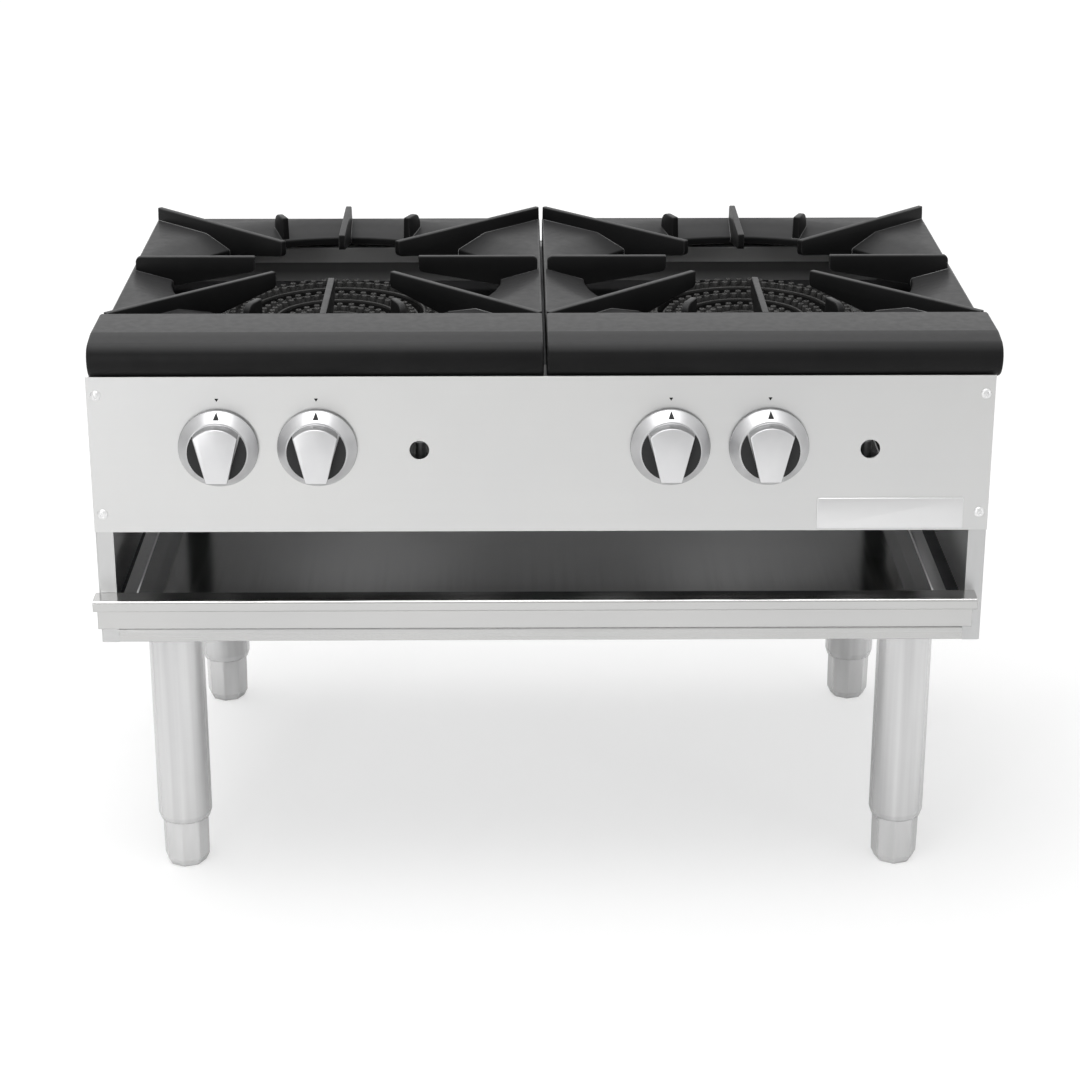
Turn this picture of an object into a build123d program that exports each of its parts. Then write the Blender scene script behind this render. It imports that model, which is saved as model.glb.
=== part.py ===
# Two-section stock pot range: cast top grates over three-ring burners,
# in a body of folded sheet on four adjustable legs.
# Millimetres. X runs to the right, the front faces -Y, Z is up and the floor is at zero.

from build123d import *
import os
from math import pi, sqrt

os.makedirs("parts", exist_ok=True)

# ---- Driving sizes ----

# clearances
running_gap = 0.3  # between pieces that lift, slide or turn apart
shaft_gap = 0.1  # around a shaft or spigot in its hole
hole_gap = 0.4  # around a fastener or pipe that passes through sheet

# body of folded sheet
body_width = 914.4
body_depth = 560.0
body_height = 283.0
sheet = 1.2
fold_radius = 2.0  # on the middle line of the sheet
post_width = 18.5
top_flange_width = 22.0
bottom_flange_width = 120.0
top_rail_depth = 58.0
top_rail_drop = 25.0
rear_rail_depth = 26.0
rear_rail_drop = 19.0
centre_rail_width = 60.0
cross_rail_leg = 25.0
cross_rail_lift = 1.0  # from the foot of the posts up to the cross rail

# front panel
panel_sheet = 1.5
panel_height = 166.0
panel_rise = 6.0  # above the top of the body, behind the roll of the castings
panel_return = 15.0
screw_inset = 19.5
screw_radius = 2.4
screw_head_radius = 5.4
screw_head_height = 2.4
screw_length = 9.0
nameplate_width = 150.0
nameplate_height = 33.0
nameplate_thickness = 2.0
nameplate_bevel = 0.9
nameplate_side_inset = 25.6
nameplate_bottom_inset = 2.5
lighting_hole_radius = 10.0
lighting_hole_drop = 78.0
lighting_hole_offset = 103.0

# sections: the burners and knobs are laid out a little to the right in the body
section_shift = 2.0

# castings: one top grate with a rounded nose for each section
casting_overhang = 3.6  # both castings together, wider than the body
casting_shift = 4.0
casting_gap = 3.0
casting_height = 42.7
casting_wall = 7.0
nose_depth = 104.0
nose_reach = 3.0  # ahead of the front panel
rear_inset = 2.0  # from the rear edge of the grates to the back of the body
nose_top_radius = 18.0
nose_bottom_radius = 24.0
nose_lip = 7.0
nose_side_step = 2.5  # the nose is this much wider than the grate at its outer end
plate_drop = 14.6  # from the rib tops to the flat corners
plate_thickness = 8.0
opening_radius = 183.0
dish_fall = 12.0
rim_thickness = 11.5
rib_tip_radius = 91.0
rib_tip_depth = 17.5
rib_tip_round = 6.0
rib_top_width = 7.0
rib_foot_width = 9.5
rib_end_round = 6.0
rib_end_inset = 4.0
short_rib_length = 31.0
short_rib_inset = 2.0  # from the opening
short_rib_round = 12.0
short_rib_angle = 22.5

# burners: three rings of raised jets
burner_drop = 59.0  # from the rib tops to the jet tops
jet_height = 9.0
jet_width = 5.0
jet_pitch = 18.0
jet_row_gap = 11.0
ring_height = 22.0
ring_width = 25.0
ring_pitch = 31.0
ring_step = 5.5  # from one ring's top down to the next ring's inside it
outer_ring_beyond = 10.0  # outer ring's middle line beyond its mixer tube
arm_width = 16.0
arm_height = 10.0
lug_width = 26.0
lug_height = 6.0
lug_length = 26.0
burner_rail_leg = 28.0
burner_rail_upright = 20.0

# gas train
knob_drop = 74.5  # from the top of the front panel to the knob axis
knob_pitch = 100.0
manifold_setback = 35.0  # from the front of the panel
manifold_drop = 38.0
manifold_radius = 13.35
manifold_wall = 2.9
manifold_end_inset = 34.0  # from the blank end to the last valve
manifold_side_inset = 32.0  # from the side of the body to the pipe's middle line
manifold_bend = 40.0
boss_radius = 11.0
boss_height = 3.0
inlet_length = 38.0
inlet_collar_radius = 18.0  # across the corners of its six flats, halved
inlet_collar_length = 12.0
bracket_sheet = 3.0
valve_radius = 11.0
valve_front = 16.0
valve_rear = 14.0
spud_radius = 9.0
hood_radius = 7.0
hood_length = 26.0
hood_bore = 1.5
mixer_radius = 17.0
mixer_wall = 3.0
bell_radius = 24.0
bell_length = 14.0
bell_taper = 20.0
bell_offset = 16.0  # from the valve body to the mouth of the mixer tube
shutter_sheet = 1.5
shutter_rim = 8.0
shutter_window_width = 9.0
shutter_window_height = 13.0
pilot_valve_radius = 6.0
pilot_valve_height = 16.0
pilot_tube_radius = 3.2
pilot_tip_radius = 5.0
pilot_tip_height = 12.0
pilot_bend = 16.0
pilot_stand_off = 14.0
pilot_tip_below_jets = 6.0

# knobs
knob_skirt_radius = 40.25
knob_skirt_height = 4.0
knob_drum_radius = 30.0
knob_cone_height = 15.0
knob_height = 37.5
knob_panel_gap = 1.0
knob_pocket_depth = 19.5
knob_insert_thickness = 2.0
knob_grip_top = 24.0
knob_grip_foot = 10.0
knob_edge = 1.5
knob_hub_radius = 9.0
knob_hub_rise = 3.0
knob_shell = 4.0
stem_radius = 4.0
stem_in_valve = 18.0
stem_in_knob = 20.0
stem_hole_radius = 7.0

# drip tray
tray_shift = -6.0  # the tray lies a little to the left in its posts
tray_sheet = 1.2
tray_front_inset = 3.2  # its ends, inside the sides of the body
tray_front_height = 41.2
tray_lip_depth = 26.0
tray_lip_height = 12.0
tray_lip_return = 15.0
tray_pan_side_inset = 45.2  # from the side of the body to the pan's wall
tray_hem = 14.0
tray_rear_gap = 20.0
tray_rise = 16.5  # from the foot of the posts to the underside of the pan
tray_rim_drop = 2.5
tray_front_overlap = 1.2
guide_overlap = 16.0
guide_foot = 20.0

# legs
leg_side_inset = 69.2
front_leg_inset = 60.0
rear_leg_inset = 64.0
leg_radius = 29.0
leg_wall = 1.8
leg_length = 229.0
leg_shoulder = 7.0
leg_cap = 5.0
leg_nut_height = 12.0
stud_radius = 9.0
stud_length = 13.0
gusset_size = 92.0
gusset_sheet = 4.0
foot_reach = 55.0
foot_radius = 25.0
foot_spigot = 30.0
foot_flat_height = 17.0
foot_flat_radius = 20.5
foot_screw_radius = 8.0
foot_screw_length = 45.0
foot_travel_up = 8.0

# ---- Places worked out from the driving sizes ----

half_width = body_width / 2
front_y = -body_depth / 2
rear_y = body_depth / 2
post_y = front_y + panel_sheet
rear_flange_y = rear_y - sheet
body_bottom = foot_reach + leg_length
body_top = body_bottom + body_height
panel_top = body_top + panel_rise
panel_bottom = panel_top - panel_height
casting_seat = body_top + running_gap
pot_plane = casting_seat + casting_height
section_centres = (-body_width / 4 + section_shift, body_width / 4 + section_shift)

# castings
nose_width = (body_width + casting_overhang - casting_gap) / 2
nose_front_y = front_y - nose_reach
plate_front_y = nose_front_y + nose_depth
plate_rear_y = rear_y - rear_inset
grate_centre_y = (plate_front_y + plate_rear_y) / 2
half_plate_y = (plate_rear_y - plate_front_y) / 2
plate_top = pot_plane - plate_drop
rim_top = plate_top - dish_fall
rim_bottom = rim_top - rim_thickness

# burners
burner_y = grate_centre_y
jet_top = pot_plane - burner_drop
ring_top = jet_top - jet_height
ring_bottom = ring_top - ring_height
outer_ring = knob_pitch + outer_ring_beyond
ring_radii = (outer_ring, outer_ring - ring_pitch, outer_ring - 2 * ring_pitch)
burner_reach = outer_ring + ring_width / 2

# gas train
knob_z = panel_top - knob_drop
manifold_y = front_y + manifold_setback
manifold_z = knob_z - manifold_drop
boss_top = manifold_z + manifold_radius + boss_height
pipe_side_x = half_width - manifold_side_inset
inlet_end_y = rear_y + inlet_length
valve_front_y = manifold_y - valve_front
valve_rear_y = manifold_y + valve_rear
mixer_mouth_y = valve_rear_y + bell_offset
mixer_bend = ring_bottom - knob_z

# tray
tray_floor = body_bottom + tray_rise
tray_face_y = post_y - running_gap
tray_face_bottom = tray_floor - tray_front_overlap
tray_face_top = tray_face_bottom + tray_front_height
tray_rim = tray_face_top - tray_rim_drop
half_pan = half_width - tray_pan_side_inset
guide_top = tray_floor - running_gap
cross_rail_top = guide_top - sheet
cross_rail_inner_y = post_y + cross_rail_leg

# legs
leg_places = {
    "front_left": (-half_width + leg_side_inset, front_y + front_leg_inset),
    "front_right": (half_width - leg_side_inset, front_y + front_leg_inset),
    "rear_left": (-half_width + leg_side_inset, rear_y - rear_leg_inset),
    "rear_right": (half_width - leg_side_inset, rear_y - rear_leg_inset),
}


# ---- Helpers ----


# Rectangular block between three pairs of limits.
def block(x0, x1, y0, y1, z0, z1):
    middle = Pos((x0 + x1) / 2, (y0 + y1) / 2, (z0 + z1) / 2)
    return middle * Box(abs(x1 - x0), abs(y1 - y0), abs(z1 - z0))


# Upright cylinder.
def rod_z(radius, x, y, low, high):
    return Pos(x, y, (low + high) / 2) * Cylinder(radius, high - low)


# Cylinder that lies front to back.
def rod_y(radius, x, z, near, far):
    return Pos(x, (near + far) / 2, z) * Rot(X=90) * Cylinder(radius, far - near)


# Solid of revolution about Z from its outline of (radius, height) points.
def turned(*outline):
    points = [(radius, 0, height) for radius, height in outline]
    return revolve(make_face(Polyline(*points, close=True)), axis=Axis.Z)


# Sheet folded along X: the outline is the middle line as (y, z) points.
def folded_along_x(points, thickness, x0, x1):
    line = FilletPolyline(*points, radius=fold_radius)
    return extrude(Plane.YZ.offset(x0) * trace(line, thickness), amount=x1 - x0)


# Sheet folded along Y: the outline is the middle line as (x, z) points.
def folded_along_y(points, thickness, y0, y1):
    line = FilletPolyline(*points, radius=fold_radius)
    start = Plane(origin=(0, y0, 0), x_dir=(1, 0, 0), z_dir=(0, -1, 0))
    return extrude(start * trace(line, thickness), amount=y0 - y1)


# The piece itself on the right, or its mirror image on the left.
def handed(piece, side):
    return piece if side > 0 else mirror(piece, about=Plane.YZ)


# ---- Body ----


def side_panel(side):
    mid_x = half_width - sheet / 2
    mid_front = post_y + sheet / 2
    mid_rear = rear_flange_y - sheet / 2
    line = FilletPolyline(
        (half_width - post_width, mid_front),
        (mid_x, mid_front),
        (mid_x, mid_rear),
        (half_width - post_width, mid_rear),
        radius=fold_radius,
    )
    panel = extrude(Plane.XY.offset(body_bottom) * trace(line, sheet), amount=body_height)
    inner_x = half_width - sheet
    panel += block(
        half_width - bottom_flange_width, inner_x,
        post_y + sheet, rear_flange_y - sheet,
        body_bottom, body_bottom + sheet,
    )
    panel += block(
        half_width - top_flange_width, inner_x,
        post_y + sheet + top_rail_depth + running_gap,
        rear_flange_y - sheet - rear_rail_depth - running_gap,
        body_top - sheet, body_top,
    )
    for x, y in leg_places.values():
        if x > 0:
            panel -= rod_z(stud_radius + hole_gap, x, y, body_bottom - 1, body_bottom + sheet + 1)
    for z in screw_heights():
        panel -= rod_y(screw_radius + hole_gap, screw_x(), z, post_y - 1, post_y + sheet + 1)
    return handed(panel, side)


def screw_x():
    return half_width - post_width / 2


def screw_heights():
    return (panel_top - screw_inset, panel_bottom + screw_inset)


# Flat panel laid over the rear flanges, with a hole for the gas pipe.
def back_panel():
    panel = block(-half_width, half_width, rear_flange_y, rear_y, body_bottom, body_top)
    near = rear_flange_y - 1
    far = rear_y + 1
    return panel - rod_y(manifold_radius + hole_gap, pipe_side_x, manifold_z, near, far)


# Channel open downwards that carries one edge of both castings.
def top_rail(face_y, inward, depth, drop):
    y0 = face_y + inward * sheet / 2
    y1 = face_y + inward * (depth - sheet / 2)
    low = body_top - drop
    points = [(y0, low), (y0, body_top - sheet / 2), (y1, body_top - sheet / 2), (y1, low)]
    half = half_width - sheet - fold_radius
    rail = folded_along_x(points, sheet, -half, half)
    if inward < 0:
        return rail
    near = face_y - 1
    far = face_y + sheet + 1
    for side in (-1, 1):
        rail -= rod_y(screw_radius + hole_gap, side * screw_x(), screw_heights()[0], near, far)
    return rail


# Channel under the seam between the castings.
def centre_rail():
    x = centre_rail_width / 2 - sheet / 2
    low = body_top - top_rail_drop
    points = [(-x, low), (-x, body_top - sheet / 2), (x, body_top - sheet / 2), (x, low)]
    near = post_y + sheet + top_rail_depth
    far = rear_flange_y - sheet - rear_rail_depth
    return folded_along_y(points, sheet, near, far)


# Angle between the feet of two posts, its upper leg turned inwards under the tray.
def cross_rail(face_y, inward):
    mid = face_y + inward * sheet / 2
    edge = face_y + inward * cross_rail_leg
    top = cross_rail_top - sheet / 2
    points = [(mid, body_bottom + cross_rail_lift), (mid, top), (edge, top)]
    half = half_width - post_width
    return folded_along_x(points, sheet, -half, half)


# Z-shaped runner that stands on the bottom flange and carries one side of the tray.
def tray_guide(side):
    wall = half_width - sheet
    upright = wall - guide_foot
    foot = body_bottom + sheet * 1.5
    top = guide_top - sheet / 2
    points = [(wall, foot), (upright, foot), (upright, top), (half_pan - guide_overlap, top)]
    far = rear_flange_y - cross_rail_leg
    return handed(folded_along_y(points, sheet, cross_rail_inner_y, far), side)


# Angle across the body that carries the lugs of both burners.
def burner_rail(inward):
    edge = burner_y - inward * (burner_reach - sheet)
    wall = burner_y - inward * (burner_reach + burner_rail_leg)
    level = ring_bottom - sheet / 2
    points = [(edge, level), (wall, level), (wall, level + burner_rail_upright)]
    return folded_along_x(points, sheet, -half_width + sheet, half_width - sheet)


# Front panel with its lower edge returned between the posts.
def front_panel():
    panel = block(-half_width, half_width, front_y, post_y, panel_bottom, panel_top)
    half = half_width - post_width - running_gap
    return_top = panel_bottom + panel_sheet
    panel += block(-half, half, post_y, post_y + panel_return, panel_bottom, return_top)
    near = front_y - 1
    far = post_y + 1
    for centre in section_centres:
        for x in (centre - knob_pitch, centre):
            panel -= rod_y(stem_hole_radius, x, knob_z, near, far)
        lighting_x = centre + lighting_hole_offset
        panel -= rod_y(lighting_hole_radius, lighting_x, panel_top - lighting_hole_drop, near, far)
    for side in (-1, 1):
        for z in screw_heights():
            panel -= rod_y(screw_radius + hole_gap, side * screw_x(), z, near, far)
    return panel


# Truss-head screws that hold the front panel to the posts.
def panel_screws():
    head = screw_head_radius
    rise = screw_head_height
    screw = turned(
        (0, -screw_length), (screw_radius, -screw_length), (screw_radius, 0), (head, 0),
        (head, rise * 0.35), (head * 0.75, rise * 0.8), (head * 0.35, rise), (0, rise),
    )
    places = [(side * screw_x(), z) for side in (-1, 1) for z in screw_heights()]
    return Compound(children=[Pos(x, front_y, z) * Rot(X=90) * screw for x, z in places])


# Bare plate with a bevelled border.
def nameplate():
    right = half_width - nameplate_side_inset
    low = panel_bottom + nameplate_bottom_inset
    plate = block(
        right - nameplate_width, right, front_y - nameplate_thickness, front_y,
        low, low + nameplate_height,
    )
    front = plate.faces().sort_by(Axis.Y)[0]
    return chamfer(front.edges(), nameplate_bevel)


# ---- Castings ----


# Outline of the rounded nose in (y, z), a wall's thickness inside its outer face.
# The last points lead from the end of the lower roll back under the nose.
def nose_outline(wall, last_points):
    front = nose_front_y + wall
    top = pot_plane - wall
    low = casting_seat + wall
    upper = nose_top_radius - wall
    lower = nose_bottom_radius - wall
    crown = Line((plate_front_y, top), (front + upper, top))
    upper_arc = RadiusArc((front + upper, top), (front, top - upper), -upper)
    face = Line((front, top - upper), (front, low + lower))
    lower_arc = RadiusArc((front, low + lower), (front + lower, low), -lower)
    under = Polyline((front + lower, low), *last_points, (plate_front_y, top))
    return make_face([crown, upper_arc, face, lower_arc, under])


# Hollow nose, open below behind its curled lip.
def nose(x0, x1):
    lip_y = nose_front_y + nose_bottom_radius + nose_lip
    lip_top = casting_seat + casting_wall
    open_z = casting_seat - 1
    outside = nose_outline(0, [(plate_front_y, casting_seat)])
    inside = nose_outline(
        casting_wall, [(lip_y, lip_top), (lip_y, open_z), (plate_front_y, open_z)]
    )
    shell = extrude(Plane.YZ.offset(x0) * outside, amount=x1 - x0)
    hollow = extrude(
        Plane.YZ.offset(x0 + casting_wall) * inside, amount=x1 - x0 - 2 * casting_wall
    )
    return shell - hollow


# Rib that lies along +X from the middle, with drafted sides and its own side view.
def rib(outline, rounded):
    view = make_face(Polyline(*outline, close=True))
    for point, radius in rounded:
        corner = view.vertices().sort_by_distance((point[0], point[1], 0))[0]
        view = fillet(corner, radius)
    side_view = extrude(Plane.XZ * view, amount=rib_foot_width, both=True)
    half_top = rib_top_width / 2
    half_foot = rib_foot_width / 2
    section = make_face(Polyline(
        (-half_foot, rim_bottom), (half_foot, rim_bottom),
        (half_top, pot_plane), (-half_top, pot_plane), close=True,
    ))
    reach = max(point[0] for point in outline) + 1
    drafted = extrude(Plane.YZ * section, amount=reach)
    return side_view & drafted


# Main rib from its tip over the burner to its root on the plate.
def main_rib(reach, end_round):
    tip_low = pot_plane - rib_tip_depth
    root = plate_top - plate_thickness / 2
    outline = [
        (rib_tip_radius, pot_plane), (reach, pot_plane), (reach, root),
        (opening_radius, rim_bottom + 1), (rib_tip_radius, tip_low),
    ]
    rounded = [((rib_tip_radius, tip_low), rib_tip_round)]
    if end_round:
        rounded.append(((reach, pot_plane), end_round))
    return rib(outline, rounded)


# Short rib that stands on the dish between two main ribs.
def short_rib():
    start = opening_radius + short_rib_inset
    end = start + short_rib_length
    outline = [
        (start, pot_plane), (end, pot_plane), (end, plate_top - plate_thickness / 2),
        (start, rim_top - rim_thickness / 2),
    ]
    return rib(outline, [((end, pot_plane), short_rib_round)])


# One casting: plate, dish, skirts, ribs and nose.
def grate(side):
    seam_x = casting_shift + side * casting_gap / 2
    nose_end_x = seam_x + side * nose_width
    plate_end_x = nose_end_x - side * nose_side_step
    x0, x1 = sorted((seam_x, plate_end_x))
    centre_x = (x0 + x1) / 2
    half_plate_x = (x1 - x0) / 2
    dish_radius = min(half_plate_x, half_plate_y) - 1
    middle = Pos(centre_x, grate_centre_y, 0)

    casting = block(x0, x1, plate_front_y, plate_rear_y, casting_seat, plate_top)
    casting -= block(
        x0 + casting_wall, x1 - casting_wall,
        plate_front_y + casting_wall, plate_rear_y - casting_wall,
        casting_seat - 1, plate_top - plate_thickness,
    )
    casting -= middle * turned(
        (0, casting_seat), (opening_radius, casting_seat), (opening_radius, rim_top),
        (dish_radius, plate_top), (dish_radius, plate_top + 1), (0, plate_top + 1),
    )
    casting += middle * turned(
        (opening_radius, rim_bottom), (opening_radius, rim_top),
        (dish_radius, plate_top), (dish_radius, plate_top - plate_thickness),
    )
    nose_x = sorted((seam_x, nose_end_x))
    casting += nose(nose_x[0], nose_x[1])

    corner_reach = min(half_plate_x, half_plate_y) * sqrt(2) - rib_end_inset
    side_rib = main_rib(half_plate_x - rib_end_inset, rib_end_round)
    end_rib = main_rib(half_plate_y, 0)
    corner_rib = main_rib(corner_reach, 0)
    spacer = short_rib()
    ribs = [Rot(Z=angle) * side_rib for angle in (0, 180)]
    ribs += [Rot(Z=angle) * end_rib for angle in (90, 270)]
    ribs += [Rot(Z=angle) * corner_rib for angle in (45, 135, 225, 315)]
    for end in (90, 270):
        ribs += [Rot(Z=end + turn * short_rib_angle) * spacer for turn in (-1, 1)]
    return casting + [middle * piece for piece in ribs]


# ---- Burners ----


# Three rings on four arms, each lower than the one around it, with two staggered rows of raised jets
# on each ring.
def burner(centre_x):
    half_arm = arm_width / 2
    half_lug = lug_width / 2
    lug_end = burner_reach + lug_length
    arm_top = ring_bottom + arm_height
    lug_top = ring_bottom + lug_height
    body = block(-burner_reach, burner_reach, -half_arm, half_arm, ring_bottom, arm_top)
    body += block(-half_arm, half_arm, -burner_reach, burner_reach, ring_bottom, arm_top)
    body += block(-half_lug, half_lug, -lug_end, -outer_ring, ring_bottom, lug_top)
    body += block(-half_lug, half_lug, outer_ring, lug_end, ring_bottom, lug_top)
    middle_hole = ring_radii[-1] - ring_width / 2
    body -= rod_z(middle_hole, 0, 0, ring_bottom - 1, arm_top + 1)
    for place, radius in enumerate(ring_radii):
        inner = radius - ring_width / 2
        outer = radius + ring_width / 2
        top = ring_top - place * ring_step
        body += turned((inner, ring_bottom), (outer, ring_bottom), (outer, top), (inner, top))
        count = round(2 * pi * radius / jet_pitch)
        spots = []
        for row in (-1, 1):
            row_radius = radius + row * jet_row_gap / 2
            spots += list(PolarLocations(row_radius, count, start_angle=row * 90 / count))
        jets = Sketch() + [spot * Rectangle(jet_width, jet_width) for spot in spots]
        body += extrude(Plane.XY.offset(top - 1) * jets, amount=jet_height + 1)
    return Pos(centre_x, burner_y, 0) * body


# Two air windows, one on each side of an axis that lies front to back.
def air_windows(depth):
    window_x = (hood_radius + hole_gap + bell_radius) / 2
    window = Box(shutter_window_width, shutter_window_height, depth)
    return [Pos(side * window_x, 0, 0) * window for side in (-1, 1)]


# Mixer tube: windowed bell mouth and throat turned about its axis, then a bend up into its ring.
def mixer_tube(x, entry_y):
    bend_y = entry_y - mixer_bend
    straight = bend_y - mixer_mouth_y
    bore = mixer_radius - mixer_wall
    bell_bore = bell_radius - mixer_wall
    throat = bell_length + bell_taper
    bore_end = straight - mixer_wall
    hole = hood_radius + hole_gap
    tube = turned(
        (hole, 0), (bell_radius, 0), (bell_radius, bell_length),
        (mixer_radius, throat), (mixer_radius, straight), (0, straight),
        (0, bore_end), (bore, bore_end), (bore, throat),
        (bell_bore, bell_length), (bell_bore, mixer_wall), (hole, mixer_wall),
    )
    for window in air_windows(4 * mixer_wall):
        tube -= window
    tube = Pos(x, mixer_mouth_y, knob_z) * Rot(X=-90) * tube
    centre = (x, bend_y, knob_z + mixer_bend)
    quarter = CenterArc((0, 0), mixer_bend, 270, 90)
    bend_plane = Plane(origin=centre, x_dir=(0, 1, 0), z_dir=(1, 0, 0))
    path = bend_plane * quarter
    section = Plane(origin=(x, bend_y, knob_z), z_dir=(0, 1, 0)) * Circle(mixer_radius)
    return tube + sweep(section, path=path)


# Cup that turns on the bell mouth and opens or closes its two air windows.
def air_shutter(x):
    inner = bell_radius + shaft_gap
    outer = inner + shutter_sheet
    hole = hood_radius + hole_gap
    back = -running_gap
    front = back - shutter_sheet
    cup = turned(
        (hole, front), (outer, front), (outer, shutter_rim), (inner, shutter_rim),
        (inner, back), (hole, back),
    )
    for window in air_windows(8 * shutter_sheet):
        cup -= window
    return Pos(x, mixer_mouth_y, knob_z) * Rot(X=-90) * cup


# ---- Gas train ----


# Pipe across the front and back along the right side, with a boss for each valve.
def manifold_pipe():
    blank_x = section_centres[0] - knob_pitch - manifold_end_inset
    line = FilletPolyline(
        (blank_x, manifold_y), (pipe_side_x, manifold_y), (pipe_side_x, inlet_end_y),
        radius=manifold_bend,
    )
    path = Plane.XY.offset(manifold_z) * line
    start = Plane(origin=(blank_x, manifold_y, manifold_z), z_dir=(1, 0, 0))
    pipe = sweep(start * Circle(manifold_radius), path=path)
    pipe_bore = sweep(start * Circle(manifold_radius - manifold_wall), path=path)
    for centre in section_centres:
        for x in (centre - knob_pitch, centre, centre + lighting_hole_offset):
            pipe += rod_z(boss_radius, x, manifold_y, manifold_z, boss_top)
    collar = Plane(origin=(pipe_side_x, rear_y + hole_gap, manifold_z), z_dir=(0, 1, 0))
    pipe += extrude(collar * RegularPolygon(inlet_collar_radius, 6), amount=inlet_collar_length)
    blank_end = extrude(start * Circle(manifold_radius), amount=manifold_wall)
    return pipe - pipe_bore + blank_end


# Straps that hang the pipe from the front panel.
def manifold_brackets():
    straps = []
    for centre in section_centres:
        x = centre + lighting_hole_offset / 2
        strap = block(
            x, x + bracket_sheet,
            post_y, manifold_y + manifold_radius + bracket_sheet,
            manifold_z - manifold_radius - bracket_sheet,
            manifold_z + manifold_radius + bracket_sheet,
        )
        pipe = Pos(x, manifold_y, manifold_z) * Rot(Y=90) * Cylinder(
            manifold_radius + shaft_gap, 4 * bracket_sheet
        )
        straps.append(strap - pipe)
    return Compound(children=straps)


# Valve body on its spud, with the gas hood that points into the mixer tube.
def gas_valve(x):
    stem_hole_end = valve_front_y + stem_in_valve + running_gap
    hood_end = valve_rear_y + hood_length
    valve = rod_y(valve_radius, x, knob_z, valve_front_y, valve_rear_y)
    valve += rod_z(spud_radius, x, manifold_y, boss_top, knob_z)
    valve += rod_y(hood_radius, x, knob_z, valve_rear_y, hood_end)
    valve -= rod_y(stem_radius + shaft_gap, x, knob_z, valve_front_y - 1, stem_hole_end)
    return valve - rod_y(hood_bore, x, knob_z, hood_end - hood_length / 2, hood_end + 1)


# Pilot valve, its tube and its tip beside the outer ring.
def pilot(centre_x):
    x = centre_x + lighting_hole_offset
    rise_y = burner_y - sqrt((burner_reach + pilot_stand_off) ** 2 - lighting_hole_offset**2)
    level = boss_top + pilot_valve_height / 2
    tip_top = jet_top - pilot_tip_below_jets
    tip_low = tip_top - pilot_tip_height
    line = FilletPolyline(
        (manifold_y, level), (rise_y, level), (rise_y, tip_low), radius=pilot_bend
    )
    path = Plane.YZ.offset(x) * line
    start = Plane(origin=(x, manifold_y, level), z_dir=(0, 1, 0))
    piece = rod_z(pilot_valve_radius, x, manifold_y, boss_top, boss_top + pilot_valve_height)
    piece += sweep(start * Circle(pilot_tube_radius), path=path)
    return piece + rod_z(pilot_tip_radius, x, rise_y, tip_low, tip_top)


# ---- Knobs ----


# Prism over the tapered grip, between two heights of the knob.
def grip_prism(low, high):
    reach = knob_drum_radius + 1
    top_y = sqrt(knob_drum_radius**2 - knob_grip_top**2)
    foot_y = -sqrt(knob_drum_radius**2 - knob_grip_foot**2)
    slope = (knob_grip_top - knob_grip_foot) / (top_y - foot_y)
    wide = knob_grip_top + slope * (reach - top_y)
    narrow = knob_grip_foot - slope * (reach + foot_y)
    outline = Polyline(
        (-wide, reach), (wide, reach), (narrow, -reach), (-narrow, -reach), close=True
    )
    return extrude(Plane.XY.offset(low) * make_face(outline), amount=high - low)


# Stands a piece modelled along +Z on the front panel, facing the front.
def on_panel(x, piece):
    return Pos(x, front_y, knob_z) * Rot(X=90) * piece


# Skirt, cone and drum in one shell, with the drum cut away on both sides of the grip.
def knob(x):
    base = knob_panel_gap
    rim = base + knob_skirt_height
    cavity_top = base + knob_cone_height - knob_shell
    socket_end = base + knob_hub_rise + stem_in_knob
    cone_radius = knob_drum_radius + 1
    shell = turned(
        (stem_radius, base + knob_hub_rise), (knob_hub_radius, base + knob_hub_rise),
        (knob_hub_radius, cavity_top), (cone_radius - knob_shell, cavity_top),
        (knob_skirt_radius - knob_shell, base), (knob_skirt_radius, base),
        (knob_skirt_radius, rim),
        (cone_radius, base + knob_cone_height), (knob_drum_radius, base + knob_cone_height),
        (knob_drum_radius, knob_height), (0, knob_height), (0, socket_end),
        (stem_radius, socket_end),
    )
    floor = knob_height - knob_pocket_depth
    above = knob_height + 1
    pockets = rod_z(knob_drum_radius + 2, 0, 0, floor, above) - grip_prism(floor, above)
    shell -= pockets
    face = shell.faces().sort_by(Axis.Z)[-1]
    shell = chamfer(face.edges(), knob_edge)
    return on_panel(x, shell)


# Dark inserts that lie on the floor of both pockets.
def knob_inserts(x):
    floor = knob_height - knob_pocket_depth
    top = floor + knob_insert_thickness
    disc = rod_z(knob_drum_radius, 0, 0, floor, top)
    sides = (disc - grip_prism(floor, top)).solids()
    return on_panel(x, Compound(children=list(sides)))


# Stem from inside the valve to the end of the knob's socket.
def valve_stem(x):
    front = front_y - knob_panel_gap - knob_hub_rise - stem_in_knob
    return rod_y(stem_radius, x, knob_z, front, valve_front_y + stem_in_valve)


# ---- Drip tray ----


# Folded front with a pull lip along its top.
def tray_front():
    mid = tray_face_y - tray_sheet / 2
    lip_y = post_y - running_gap - tray_sheet - tray_lip_depth + tray_sheet / 2
    top = tray_face_top - tray_sheet / 2
    low = tray_face_top - tray_lip_height + tray_sheet / 2
    points = [
        (mid, tray_face_bottom), (mid, top), (lip_y, top), (lip_y, low),
        (lip_y + tray_lip_return, low),
    ]
    half = half_width - tray_front_inset
    return folded_along_x(points, tray_sheet, tray_shift - half, tray_shift + half)


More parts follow.
